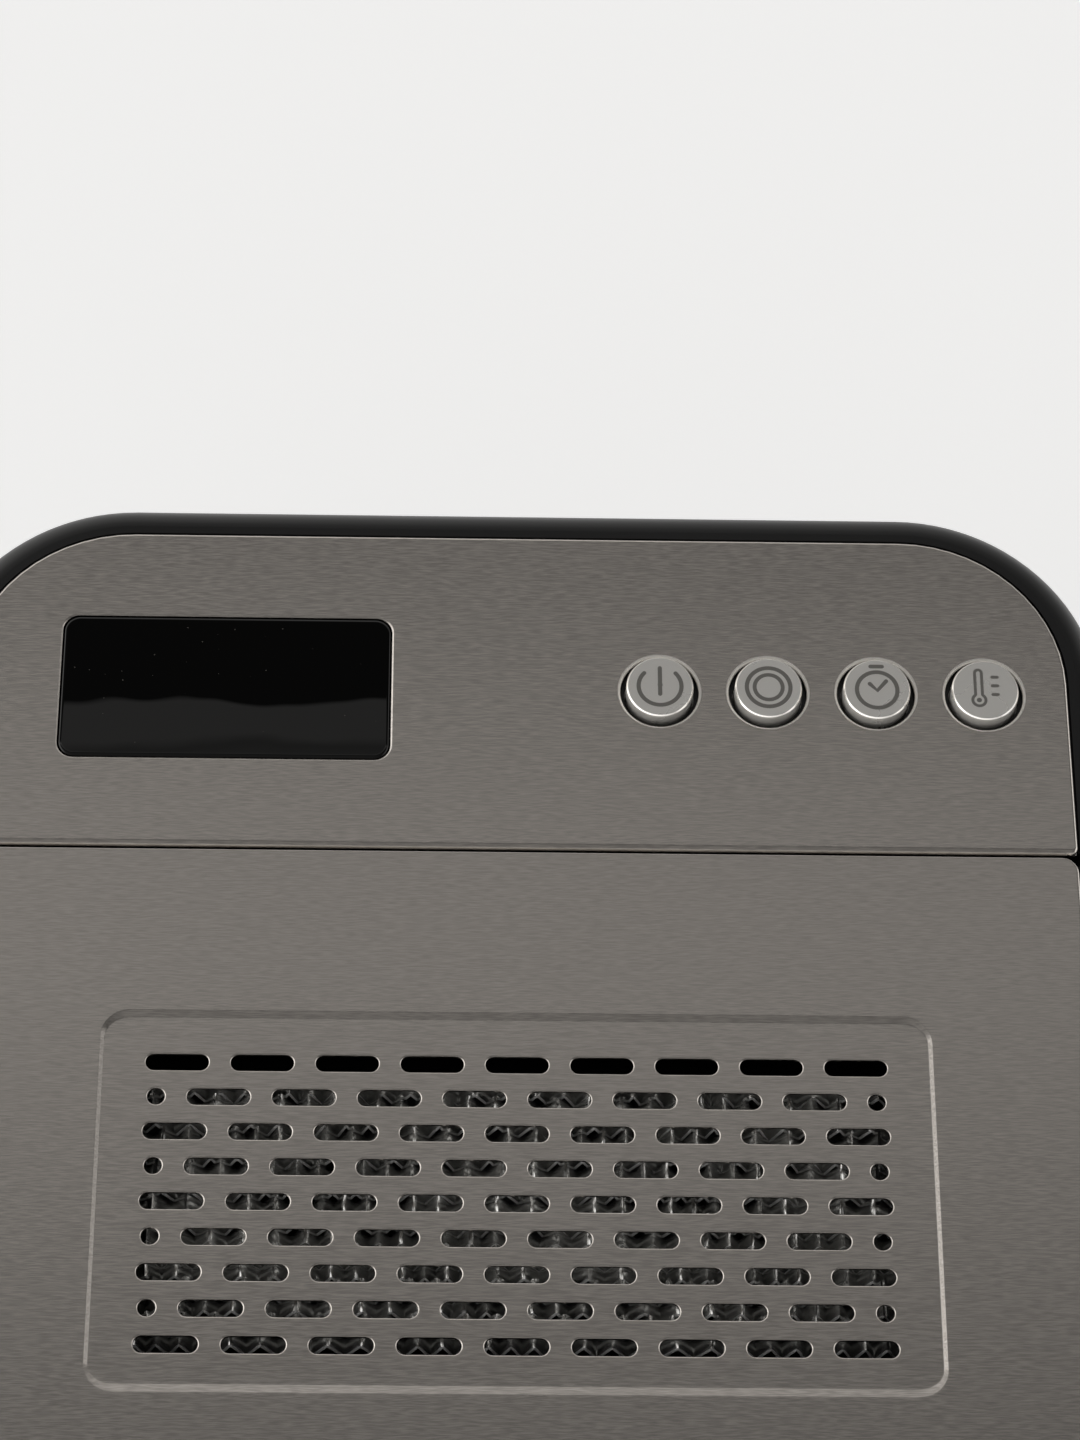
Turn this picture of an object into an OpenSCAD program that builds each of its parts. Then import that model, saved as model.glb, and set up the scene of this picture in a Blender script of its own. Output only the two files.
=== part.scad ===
// Filament dryer box: a heated two-spool cabinet with a steel control strip and a vented steel lid.
// X runs to the right, Y to the back and Z up; the origin is the middle of the box at floor level.

/* [Top panels] */
// Width of both steel panels
panel_w = 231; // [224:1:250]
// Depth of the control strip
strip_d = 74; // [70:1:86]
// Depth of the lid skin
lid_d = 176; // [172:1:200]
// Gap between the lid skin and the control strip
seam = 1; // [0.9:0.1:1.4]
// Radius of the large outer corners of the panels
panel_r = 34; // [31:1:38]
// Radius of the lid skin's two rear corners
lid_corner_r = 3.5; // [2.5:0.5:6]
// Radius that the strip's front corners have beyond the rolled edge
strip_corner_extra = 0.2; // [0.1:0.1:2]
// Thickness of the steel sheet
skin_t = 0.8; // [0.6:0.1:1]
// Outer radius of the rolled sheet edges
edge_r = 1.5; // [1.3:0.1:1.8]

/* [Casing] */
// Height of the steel top above the floor
box_h = 258; // [252:1:290]
// Height of the lid and control housing above the parting line
top_h = 24; // [23:0.5:28]
// Width of the black rim outside the steel
rim_w = 8.5; // [8:0.1:10]
// Rounding radius of the rim
rim_r = 6; // [4:0.5:6.5]
// Depth of the rim's top below the steel
rim_drop = 0.6; // [0.3:0.1:1]
// Gap between the rim and the steel
rim_gap = 0.8; // [0.5:0.1:1]
// Wall thickness of the moulded shells
wall = 2.5; // [2:0.1:3]
// Thickness of the decks that carry the steel
deck_t = 3; // [2.5:0.1:3.5]
// Gap at the parting line between the lid and the body
part_gap = 0.8; // [0.6:0.1:1]
// Height of the feet
feet_h = 6; // [4:0.5:12]
// Radius of the feet
feet_r = 10; // [8:0.5:12]
// Thickness of the base pan
base_t = 4; // [3:0.5:6]
// Width of the finger groove in the lid's front edge
grip_w = 80; // [50:1:100]
// Height of the finger groove above the parting line
grip_h = 9; // [7:0.5:10]

/* [Vent] */
// Distance from the vent's middle back to the front of the control strip
vent_back = 78; // [74:0.5:84]
// How far the middle of the recessed field lies behind the middle of the slots
recess_back = 0.6; // [0:0.1:1.2]
// Width of the recessed vent field
recess_w = 167.4; // [162:0.1:174]
// Depth of the recessed vent field
recess_d = 80.7; // [76:0.1:84]
// Corner radius of the recessed field
recess_r = 6; // [4:0.5:8]
// How deep the field is recessed
recess_h = 1.2; // [0.8:0.1:1.5]
// Width of the sloped wall of the recess
recess_slope = 2; // [1.5:0.1:2.5]
// Spacing of the slots along a row
slot_pitch_x = 17; // [16.5:0.1:17.4]
// Spacing of the slot rows
slot_pitch_y = 7.42; // [7:0.01:7.8]
// Length of a slot
slot_l = 12.7; // [10:0.1:13.5]
// Width of a slot and diameter of the end holes
slot_w = 3.6; // [2.6:0.1:4]
// Number of slot rows
slot_rows = 9; // [5:2:9]
// Number of slots in a long row
slot_cols = 9; // [5:1:9]

/* [Filter] */
// Width of the mesh filter
filter_w = 158; // [150:1:162]
// Depth of the mesh filter
filter_d = 64; // [58:1:68]
// Height of the mesh filter
filter_h = 8; // [7:0.5:9]
// Depth of the filter's top below the steel
filter_drop = 6; // [5.5:0.1:6.5]
// Spacing of the filter's corrugations
filter_pitch = 5.2; // [4:0.1:7]

/* [Controls] */
// Distance from the front of the strip to the line of the controls
control_back = 37.2; // [33:0.1:40]
// Width of the display lens
lens_w = 69.1; // [60:0.1:74]
// Depth of the display lens
lens_d = 33.5; // [28:0.1:36]
// Corner radius of the display lens
lens_r = 3.5; // [2:0.1:5]
// Place of the display lens left of the middle
lens_left = 61.2; // [58:0.1:64]
// Place of the first button right of the middle
button_first = 29.8; // [26:0.1:32]
// Spacing of the buttons
button_pitch = 22.8; // [21:0.1:23.5]
// Diameter of a button cap
button_d = 14.4; // [12:0.1:15]
// Ring gap between a button cap and the steel
button_gap = 1; // [0.8:0.1:1.2]
// Radius of the rolled-in edge round a button
collar_r = 0.9; // [0.8:0.1:1]
// Height of a button above the steel
button_h = 2.4; // [1.8:0.1:3]
// Travel of a button
button_travel = 1.2; // [0.8:0.1:1.4]

/* [Hinge] */
// Distance from the lid skin's rear edge forward to the hinge axis
hinge_back = 8; // [7.8:0.1:9]
// Depth of the hinge axis below the steel
hinge_down = 4.5; // [4.4:0.1:4.7]
// Radius of a hinge pin
pin_r = 1.5; // [1.2:0.1:1.6]
// Width of a hinge lug
lug_w = 10; // [8:0.5:14]
// Distance of a lug from the middle
lug_x = 80; // [60:1:92]
// Half thickness of a lug at its head
lug_r = 2.8; // [2.6:0.1:2.9]
// Opening angle of the lid in degrees
lid_open = 100; // [80:1:100]

/* [Spool chamber] */
// Air gap between the outer wall and the liner
liner_gap = 7; // [6.5:0.1:8]
// Thickness of the liner
liner_t = 1.5; // [1:0.1:2]
// Radius of the liner's rear corners
liner_rear_r = 8; // [5:0.5:14]
// Height of the chamber floor above the floor outside
floor_z = 22; // [20:0.5:30]
// Radius of a spool roller
roller_r = 9; // [8:0.5:10]
// Half of the spacing of the two roller axles
axle_x = 62; // [45:1:75]
// Height of the axles above the chamber floor
axle_h = 15; // [13:0.5:18]
// Radius of a roller axle
axle_r = 3; // [2.5:0.1:3.5]
// Outer radius of a roller bearing
bearing_r = 6.5; // [6:0.1:6.8]
// Length of a roller bearing
bearing_l = 5; // [4:0.5:7]
// Thickness of an axle post
post_t = 6; // [5:0.5:8]
// Bore radius of a filament outlet's tube seat
outlet_r = 2.05; // [1.5:0.05:2.5]
// Radius of the filament hole behind a tube seat
filament_r = 1.2; // [1:0.05:1.4]
// Distance of the filament outlets below the parting line
outlet_drop = 29; // [24:1:60]

/* [Air] */
// Side of the square fan
fan_size = 80; // [70:1:86]
// Depth of the fan
fan_d = 25; // [22:1:32]
// Height of the fan's middle above the chamber floor
fan_h = 56; // [52:1:66]
// Length of the air duct between the liner and the fan
duct_l = 37; // [34:1:40]
// Thickness of the duct's wall
duct_t = 1.5; // [1:0.1:2]
// Number of fan blades
blades = 7; // [5:1:9]
// Width of the rear cover
cover_w = 144; // [120:1:150]
// Height of the rear cover
cover_h = 170; // [150:1:180]
// Height of the rear cover's lower edge
cover_z = 28; // [26:1:34]
// Radius of the plug that the power socket takes
plug_r = 2.75; // [2.5:0.05:3]

/* [Hidden] */
$fn = 64;

// Clearance of a fixed fit
fit = 0.2;
// Gap of a seam between two flush mouldings
seam_gap = 0.15;
// Clearance round a running shaft
run = 0.05;
// Overlap that lets a cut pass a face
cut = 1;

// Plan of the casing
body_w = panel_w + 2 * rim_w;
body_d = strip_d + seam + lid_d + 2 * rim_w;
body_r = panel_r + rim_w;
half_w = body_w / 2;
y_front = -body_d / 2;
y_rear = body_d / 2;
strip_rear = y_rear - rim_w;
strip_front = strip_rear - strip_d;
lid_rear = strip_front - seam;
lid_front = y_front + rim_w;
vent_y = strip_front - vent_back;
field_y = vent_y + recess_back;
control_y = strip_front + control_back;
rim_in = rim_w - rim_gap;
strip_corner_r = edge_r + strip_corner_extra;

// Levels of the casing
z_top = box_h;
z_sheet = z_top - skin_t;
z_deck = z_sheet - deck_t;
z_rim = z_top - rim_drop;
z_part = z_top - top_h;
z_lid = z_part + part_gap;
z_base = feet_h;
z_body = z_base + base_t;
edge_clear = 1;
rim_end_clear = 0.4;
moat_clear = 0.3;
z_moat = z_top - edge_r - moat_clear;
bay_front_wall = 8;
bay_rear_wall = 16;
bay_side_wall = 30;
bay_r = 6;
ledge_t = 3.5;
ledge_w = 5;
frame_t = 3;
z_frame = z_part - frame_t;
z_ledge = z_frame - liner_t;

// Hinge
hinge_y = lid_rear - hinge_back;
hinge_z = z_top - hinge_down;
lug_side_clear = 0.5;
lug_swing_clear = 0.4;
lug_room_w = lug_w + 2 * lug_side_clear;
lug_foot_front = 7.5;
lug_foot_back = 1;
lug_root = 1;
lug_lean = atan2((lug_foot_front + lug_foot_back) / 2, hinge_z - z_part);
knuckle_w = 7;
knuckle_r = 4;
lid_wall_rear = lid_rear - edge_clear;
lid_wall_lift = 2;
lid_heel = 1.6;
lug_panel_clear = 1;
lug_foot_clear = 0.6;
grip_in = wall + 4;
grip_back = 3;
grip_flange = 2;
grip_flange_t = 1.5;
panel_slot_x = 36;
panel_slot_pitch = 8;
panel_slot_l = 62;

// Chamber
gasket_room = 15;
liner_x = half_w - wall - liner_gap - liner_t;
liner_front = y_front + wall + liner_gap + liner_t;
liner_rear = hinge_y - gasket_room;
liner_corner = 4.5;
liner_rf = body_r - wall - liner_gap - liner_t - liner_corner;
liner_back = liner_rear + liner_t;
inlet_pitch = 7.5;
inlet_l = 66;
air_slot_w = 4;
return_x = 40;
return_drop = 44;
return_pitch = 9;
return_l = 60;
groove_in = 1.8;
groove_w = 3.6;
groove_h = 1.2;
panel_lift = 1.2;
inner_panel_t = 3;
z_inner = z_lid + panel_lift;
gasket_top = z_inner - 0.3;

// Rollers
axle_z = floor_z + axle_h;
post_gap = 0.5;
post_w = 14;
post_top = 5.5;
post_shoulder = 1;
roller_edge = 1;
bearing_in = 0.5;
post_front = liner_front + post_gap;
post_rear = liner_rear - post_gap - post_t;
post_mid = (post_front + post_rear) / 2;
roller_l = post_mid - post_front - post_t - 2 * post_gap;
roller_core = bearing_r - 2;

// Vent and filter
end_hole_in = 0.6;
filter_z = z_top - filter_drop - filter_h;
deck_open = 0.5;
tray_t = 2;
tray_floor_t = 1.5;
tray_flange = 7;
tray_skin = 0.5;
tray_w = recess_w + 2 * deck_open;
tray_d = recess_d + 2 * deck_open;
filter_border = 3;
filter_ledge = 4;
rib_t = 1.2;
rib_h = 3;
fold_t = 0.4;

// Controls
button_r = button_d / 2;
hole_r = button_r + button_gap;
button_names = ["power", "spool", "timer", "temperature"];
guide_clear = 0.2;
guide_h = 1.7;
flange_t = 1.4;
flange_out = 1.2;
z_flange = z_deck - 0.3 - flange_t;
stem_r = 2.5;
stem_l = 0.4;
board_t = 1.6;
plunger_clear = 0.3;
switch_h = 3.5;
switch_w = 6;
plunger_r = 1.75;
plunger_h = 0.6;
z_board = z_flange - stem_l - button_travel - plunger_clear - plunger_h - switch_h - board_t;
board_w = 200;
board_d = 52;
board_hole_x = board_w / 2 - 4;
board_hole_y = board_d / 2 - 4;
lens_gap = 0.15;
lens_flange = 3;
lens_flange_t = 1.2;
lens_edge = 0.8;
module_in = 3;
cap_edge = 0.6;

// Air system in the rear bay
fan_z = floor_z + fan_h;
duct_out = fan_size + 4;
duct_in = duct_out - 2 * duct_t;
duct_flange_t = 3;
duct_flange = 4;
fan_y = liner_back + duct_l;
fan_bore = fan_size / 2 - 2;
fan_hole = fan_size / 2 - 4.25;
hub_r = 17.5;
shaft_r = 1.5;
motor_t = 3;
blade_tip_clear = 1.2;
blade_pitch = 40;
blade_t = 1.4;
blade_root = 2;
heater_d = 16;
heater_y = liner_back + 10;
cap_w = 6;
heater_h = duct_in - 3;
bar_t = 3;
bar_rows = 4;
bar_l = duct_in - 2 * cap_w - 2 * fit;
bar_pitch = (heater_h - bar_t) / (bar_rows - 1);
fin_pitch = 4;
fin_t = 0.3;
bar_in = 1;
fin_in = 2;
cutout_x = 18;
cutout_r = 8;
cutout_h = 5;
cutout_top_r = 6;
cutout_top_h = 4;
strut_w = 3;
rotor_in = 2;
sensor_x = 70;
sensor_h = 130;
sensor_w = 14;
sensor_l = 24;
sensor_chip = 8;
sensor_chip_t = 2.4;

// Rear cover, power socket and base
cover_t = 2;
cover_gap = 0.4;
cover_flange = 8;
cover_flange_t = 3;
cover_r = 6;
cover_face = y_rear - wall;
louvre_rows = 9;
louvre_pitch = 7;
louvre_low = 2;
louvre_x = 27;
louvre_l = 40;
louvre_w = 3.2;
socket_x = -48;
socket_z = cover_z + 22;
socket_r = 5.5;
socket_l = 18;
socket_collar = 8;
socket_collar_t = 2.5;
socket_deep = 9.5;
socket_pin = 1.25;
socket_pin_in = 1;
boss_r = 4;
base_in = 2;
base_ledge_w = 13;
base_ledge_t = 3;
base_screw_in = 9.5;
base_screw_y = 70;
base_boss_h = 9;
base_vent_pitch = 9;
base_vent_back = 45;
base_vent_l = 30;
liner_mid = (liner_front + liner_rear) / 2;
liner_post_in = 33.9;
liner_post_y = 50;
liner_post_r = 6;
feet_in = 29;
foot_edge = 1.5;
driver_w = 56;
driver_d = 74;
driver_x = wall + base_ledge_w + 2.5 + driver_w / 2 - half_w;
driver_lift = 6;
driver_y = liner_back + 4 + driver_d / 2;
driver_hole_x = driver_w / 2 - 4;
driver_hole_y = driver_d / 2 - 4;
standoff_r = 2.8;
capacitor_r = 6;
capacitor_h = 16;
capacitor_x = 11;
capacitor_y = 20;
choke_r = 10;
choke_h = 9;
choke_y = 4;
block_w = 30;
block_d = 10;
block_h = 10;
block_y = 27;

// Screws: shank and head radii, head height
screw_r = 1.45;
head_r = 2.8;
head_t = 1.6;
screw_tip = 2;
pilot_h = 12;
frame_boss_h = 20;
frame_screw_grip = 8;
housing_screw_grip = 9;
board_screw_grip = 5;
board_pilot_h = 6;
board_boss_r = 3;
lid_screw_grip = 6;
lid_pilot_h = 8;
low_head_t = 0.8;

// Outlets
outlet_z = z_part - outlet_drop;
seat_clear = 0.3;
mouth_flare = 0.9;
bush_r = 4.5;
bush_flange_r = 7;
bush_flange_t = 1.2;
bush_inside = 4;
plate_margin = 4;
plate_edge = bush_flange_r + plate_margin;
plate_lip = 2.5;
plate_lip_t = 1.5;
nut_t = 3;
nut_r = 7.5;
outlet_ys = [post_front + post_t + post_gap + roller_l / 2, post_mid + post_t + post_gap + roller_l / 2];

// Screw places
base_screw_at = [for (sx = [-1, 1], sy = [-1, 1]) [sx * (half_w - base_screw_in), sy * base_screw_y]];
boss_clear = 1;
frame_screw_back = 20;
frame_screw_in = 4;
housing_boss_side = 20;
housing_boss_back = 10;
housing_rear_side = 38;
housing_rear_in = 5;
lid_boss_in = 7;
lid_boss_front = 58;
lid_boss_rear = 32;
lid_boss_x = 46;
lid_edge_boss = 14;
lid_hinge_boss = 3;
frame_screw_at = [for (s = [-1, 1], p = [
    [half_w - wall - boss_r - boss_clear, strip_front + frame_screw_back],
    [half_w - body_r - frame_screw_in, y_rear - wall - boss_r - boss_clear]]) [s * p[0], p[1]]];
housing_boss_at = [for (s = [-1, 1], p = [
    [half_w - housing_boss_side, strip_front + housing_boss_back],
    [half_w - housing_rear_side, strip_rear - housing_rear_in]]) [s * p[0], p[1]]];
lid_boss_at = [for (s = [-1, 1], p = [
    [liner_x - lid_boss_in, vent_y - lid_boss_front], [liner_x - lid_boss_in, vent_y + lid_boss_rear],
    [lid_boss_x, lid_front + lid_edge_boss], [lid_boss_x, hinge_y - lid_hinge_boss]]) [s * p[0], p[1]]];
tray_screw_at = [for (sx = [-1, 1], sy = [-1, 1])
    [sx * tray_w / 4, field_y + sy * (tray_d / 2 + tray_t + tray_flange / 2)]];
cover_screw_at = [for (sx = [-1, 1], sz = [-1, 1])
    [sx * (cover_w / 2 - cover_flange / 2), cover_z + cover_h / 2 + sz * (cover_h / 2 - cover_flange / 2)]];
corner_signs = [[-1, -1], [-1, 1], [1, -1], [1, 1]];

// Finishes
black = "#1c1c1d";
steel = "#8d8a86";
zinc = "#b9bbbd";
alloy = "#c9cbcc";
board_green = "#1f5a3c";

// Plan outline from y0 to y1, with its own corner radius at the front and at the rear
module outline(w, y0, y1, rf, rr = 0) {
    translate([-w / 2, y0 + rf]) square([w, y1 - rr - y0 - rf]);
    if (rf > 0) {
        translate([rf - w / 2, y0]) square([w - 2 * rf, rf]);
        for (s = [-1, 1]) translate([s * (w / 2 - rf), y0 + rf]) circle(rf);
    }
    if (rr > 0) {
        translate([rr - w / 2, y1 - rr]) square([w - 2 * rr, rr]);
        for (s = [-1, 1]) translate([s * (w / 2 - rr), y1 - rr]) circle(rr);
    }
}

// Rounded rectangle about the origin
module rounded(w, d, r) {
    outline(w, -d / 2, d / 2, r, r);
}

// Profile carried round an outline; the profile's x is the distance inwards and its y is the height
module edge_sweep(w, y0, y1, rf, rr = 0, closed = true) {
    y_end = closed ? y1 - rr : y1;
    for (s = [0, 1]) mirror([s, 0, 0]) {
        translate([w / 2, y_end, 0]) rotate([90, 0, 0])
            linear_extrude(y_end - y0 - rf) mirror([1, 0]) children();
        translate([w / 2 - rf, y0 + rf, 0]) rotate([0, 0, -90])
            rotate_extrude(angle = 90) translate([rf, 0]) mirror([1, 0]) children();
        if (closed) translate([w / 2 - rr, y1 - rr, 0])
            rotate_extrude(angle = 90) translate([rr, 0]) mirror([1, 0]) children();
    }
    translate([rf - w / 2, y0, 0]) rotate([90, 0, 90]) linear_extrude(w - 2 * rf) children();
    if (closed) translate([w / 2 - rr, y1, 0]) rotate([90, 0, -90]) linear_extrude(w - 2 * rr) children();
}

// Outline of the whole casing, set in by some distance
module casing(inset) {
    outline(body_w - 2 * inset, y_front + inset, y_rear - inset, body_r - inset, body_r - inset);
}

// Outline of the chamber's mouth, grown by some distance
module mouth(grow) {
    outline(2 * (liner_x + grow), liner_front - grow, liner_rear + grow, liner_rf + grow,
        liner_rear_r + grow);
}

// Slab of an outline between two levels
module slab(z0, z1) {
    translate([0, 0, z0]) linear_extrude(z1 - z0) children();
}

// Straight prism along X of a drawing in the Y-Z plane
module prism_x(x0, x1) {
    translate([x0, 0, 0]) rotate([90, 0, 90]) linear_extrude(x1 - x0) children();
}

// Straight prism along Y of a drawing in the X-Z plane
module prism_y(y0, y1) {
    translate([0, y1, 0]) rotate([90, 0, 0]) linear_extrude(y1 - y0) children();
}

// Pan-head screw standing on its head's underside, shank pointing down
module screw(shank) {
    translate([0, 0, -shank]) cylinder(r = screw_r, h = shank);
    cylinder(r = head_r, h = head_t);
}

// Slot drawn with round ends
module slot(l, w) {
    square([l - w, w], center = true);
    for (s = [-1, 1]) translate([s * (l - w) / 2, 0]) circle(w / 2);
}

// Hexagon across corners 2r
module hexagon(r) {
    circle(r, $fn = 6);
}

// Rim of the lid and of the control housing: wall, rounding and flat top
module rim_profile() {
    translate([0, z_lid]) square([wall, z_rim - rim_r - z_lid]);
    intersection() {
        translate([rim_r, z_rim - rim_r]) circle(rim_r);
        translate([0, z_rim - rim_r]) square(rim_r);
    }
    translate([rim_r, z_rim - rim_r]) square([rim_in - rim_r, rim_r]);
}

// Quarter-round rolled edge of the sheet, seen in section
module rolled_edge(r) {
    translate([r, z_top - r]) intersection() {
        difference() {
            circle(r);
            if (r > skin_t) circle(r - skin_t);
        }
        translate([-r, 0]) square(r);
    }
}

// Slots and end holes of the vent, about its middle
module vent_pattern() {
    for (row = [0 : slot_rows - 1]) translate([0, (row - (slot_rows - 1) / 2) * slot_pitch_y]) {
        short = row % 2;
        for (col = [0 : slot_cols - 1 - short])
            translate([(col - (slot_cols - 1 - short) / 2) * slot_pitch_x, 0]) slot(slot_l, slot_w);
        if (short == 1) for (s = [-1, 1])
            translate([s * ((slot_cols - 1) / 2 * slot_pitch_x + (slot_l - slot_w) / 2 - end_hole_in), 0])
                circle(slot_w / 2);
    }
}

// Lug of the mouth frame, seen along the hinge axis
module lug_shape() {
    translate([hinge_y, hinge_z]) circle(lug_r);
    polygon([[hinge_y - lug_foot_front, z_part], [hinge_y - lug_foot_front, z_part - lug_root],
        [hinge_y - lug_foot_back, z_part - lug_root], [hinge_y - lug_foot_back, z_part],
        [hinge_y + lug_r * cos(lug_lean), hinge_z - lug_r * sin(lug_lean)],
        [hinge_y - lug_r * cos(lug_lean), hinge_z + lug_r * sin(lug_lean)]]);
}

// Room that a lug sweeps through in the lid as the lid opens
module lug_room() {
    reach = 40;
    r = lug_r + lug_swing_clear;
    a0 = 180 - lug_lean;
    a1 = 90 + (lid_open - 90) - lug_lean;
    steps = 12;
    translate([hinge_y, hinge_z]) polygon(concat(
        [[r * cos(a0) - reach * sin(lug_lean), r * sin(a0) - reach * cos(lug_lean)]],
        [for (i = [0 : steps]) let (a = a0 + (a1 - a0) * i / steps) [r * cos(a), r * sin(a)]],
        [[r * cos(a1) + reach * sin(a1), r * sin(a1) - reach * cos(a1)], [reach, -reach]]));
}

// Base pan with the posts that carry the liner
module base_pan() {
    color(black) difference() {
        union() {
            slab(z_base, z_body) casing(base_in);
            for (s = corner_signs)
                translate([s[0] * (liner_x - liner_post_in), liner_mid + s[1] * liner_post_y, z_body])
                    cylinder(r = liner_post_r, h = floor_z - liner_t - z_body);
        }
        for (p = base_screw_at) translate([p[0], p[1], z_base - cut]) {
            cylinder(r = screw_r + fit, h = base_t + 2 * cut);
            cylinder(r = head_r + 2 * fit, h = cut + head_t + fit);
        }
        // Air holes under the rear bay
        for (i = [-3 : 3]) translate([i * base_vent_pitch, strip_front + base_vent_back, z_base - cut])
            linear_extrude(base_t + 2 * cut) rotate(90) slot(base_vent_l, air_slot_w);
    }
}

// Rubber feet
module feet() {
    color("#141414") for (s = corner_signs)
        translate([s[0] * (half_w - feet_in), s[1] * (y_rear - feet_in), 0]) rotate_extrude() {
            square([feet_r - foot_edge, feet_h]);
            translate([0, foot_edge]) square([feet_r, feet_h - foot_edge]);
            translate([feet_r - foot_edge, foot_edge]) circle(foot_edge);
        }
}

// Screws that hold the base pan, driven from below
module base_screws() {
    color(zinc) for (p = base_screw_at)
        translate([p[0], p[1], z_base + head_t]) mirror([0, 0, 1])
            screw(base_t - head_t + base_boss_h - screw_tip);
}

// Outer body: wall, ledges, screw bosses, rear opening and outlet window
module outer_body() {
    color(black) difference() {
        union() {
            slab(z_body, z_part) difference() {
                casing(0);
                casing(wall);
            }
            slab(z_ledge - ledge_t, z_ledge) difference() {
                casing(wall);
                casing(wall + ledge_w);
            }
            slab(z_body, z_body + base_ledge_t) difference() {
                casing(wall);
                casing(wall + base_ledge_w);
            }
            for (p = base_screw_at) translate([p[0], p[1], z_body]) cylinder(r = boss_r, h = base_boss_h);
            for (p = frame_screw_at) translate([p[0], p[1], z_ledge - frame_boss_h])
                cylinder(r = boss_r, h = frame_boss_h);
            translate([0, 0, cover_z + cover_h / 2]) prism_y(cover_face - cover_flange_t, cover_face)
                rounded(cover_w + 2 * cover_flange, cover_h + 2 * cover_flange, cover_r);
        }
        translate([0, 0, cover_z + cover_h / 2]) {
            prism_y(cover_face, y_rear + cut)
                rounded(cover_w + 2 * cover_gap, cover_h + 2 * cover_gap, cover_r);
            prism_y(cover_face - cover_flange_t - cut, y_rear)
                rounded(cover_w - 2 * cover_flange, cover_h - 2 * cover_flange, cover_r);
        }
        for (p = base_screw_at) translate([p[0], p[1], z_body - cut])
            cylinder(r = screw_r + fit / 4, h = base_boss_h);
        for (p = frame_screw_at) translate([p[0], p[1], z_ledge - pilot_h])
            cylinder(r = screw_r + fit / 4, h = pilot_h + cut);
        for (p = cover_screw_at) translate([p[0], cover_face - cover_flange_t - cut, p[1]])
            rotate([-90, 0, 0]) cylinder(r = screw_r + fit / 4, h = cover_flange_t + 2 * cut);
        outlet_zone(0);
    }
}

// Box round the two outlets, right through the wall
module outlet_zone(grow) {
    edge = plate_edge + grow;
    translate([half_w - body_r, outlet_ys[0] - edge, outlet_z - edge])
        cube([body_r + cut, outlet_ys[1] - outlet_ys[0] + 2 * edge, 2 * edge]);
}

// Outlet plate: fills the window of the right wall and carries the outlet bushes
module outlet_plate() {
    color(black) difference() {
        union() {
            intersection() {
                slab(z_body, z_part) difference() {
                    casing(0);
                    casing(wall);
                }
                outlet_zone(-seam_gap);
            }
            intersection() {
                slab(z_body, z_part) difference() {
                    casing(wall);
                    casing(wall + plate_lip_t);
                }
                outlet_zone(plate_lip);
            }
        }
        for (y = outlet_ys) translate([half_w, y, outlet_z]) rotate([0, -90, 0]) translate([0, 0, -cut]) {
            cylinder(r = bush_r + fit / 2, h = wall + plate_lip_t + 2 * cut);
            cylinder(r = bush_flange_r + fit / 2, h = bush_flange_t + cut);
        }
    }
}

// Rear cover with two fields of louvre slots
module rear_cover() {
    color("#232324") difference() {
        translate([0, 0, cover_z + cover_h / 2]) prism_y(cover_face, cover_face + cover_t) difference() {
            rounded(cover_w, cover_h, cover_r - cover_gap);
            for (row = [0 : louvre_rows - 1], s = [-1, 1])
                translate([s * louvre_x, row * louvre_pitch - louvre_low]) slot(louvre_l, louvre_w);
            translate([socket_x, socket_z - cover_z - cover_h / 2]) circle(socket_r + fit / 2);
        }
        for (p = cover_screw_at) translate([p[0], cover_face - cut, p[1]]) rotate([-90, 0, 0])
            cylinder(r = screw_r + fit, h = cover_t + 2 * cut);
    }
}

// Screws of the rear cover, with low heads
module rear_cover_screws() {
    low_head = wall - cover_t;
    color(zinc) for (p = cover_screw_at) translate([p[0], cover_face + cover_t, p[1]]) rotate([-90, 0, 0]) {
        translate([0, 0, -cover_t - cover_flange_t]) cylinder(r = screw_r, h = cover_t + cover_flange_t);
        cylinder(r = head_r, h = low_head);
    }
}

// Low-voltage power socket: barrel, collar behind the cover and centre pin
module power_socket() {
    face = cover_face + cover_t;
    color("#2a2a2b") translate([socket_x, face, socket_z]) rotate([90, 0, 0]) {
        difference() {
            union() {
                cylinder(r = socket_r, h = socket_l);
                translate([0, 0, cover_t]) cylinder(r = socket_collar, h = socket_collar_t);
            }
            translate([0, 0, -cut]) cylinder(r = plug_r, h = cut + socket_deep);
        }
        translate([0, 0, socket_pin_in]) cylinder(r = socket_pin, h = socket_deep);
    }
}

// Chamber liner: a tub hung on the body's ledge by its flange
module chamber_liner() {
    color("#3a3b3d") difference() {
        union() {
            slab(floor_z - liner_t, z_frame) mouth(liner_t);
            slab(z_ledge, z_frame) intersection() {
                casing(wall + fit);
                translate([-half_w, y_front]) square([body_w, liner_back + groove_in - y_front]);
            }
        }
        slab(floor_z, z_frame + cut) mouth(0);
        // Warm air inlet in front of the heater
        for (row = [-4 : 4]) translate([0, 0, fan_z + row * inlet_pitch])
            prism_y(liner_rear - cut, liner_back + cut) slot(inlet_l, air_slot_w);
        // Return air slots near the top
        for (row = [0 : 2], s = [-1, 1])
            translate([s * return_x, 0, z_ledge - return_drop + row * return_pitch])
                prism_y(liner_rear - cut, liner_back + cut) slot(return_l, air_slot_w);
        for (y = outlet_ys) translate([liner_x - cut, y, outlet_z]) rotate([0, 90, 0])
            cylinder(r = bush_r + fit / 2, h = liner_t + 2 * cut);
        for (s = corner_signs)
            translate([s[0] * duct_screw_x(), liner_rear - cut, fan_z + s[1] * duct_screw_x()])
                rotate([-90, 0, 0]) cylinder(r = screw_r + fit, h = liner_t + 2 * cut);
    }
}

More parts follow.
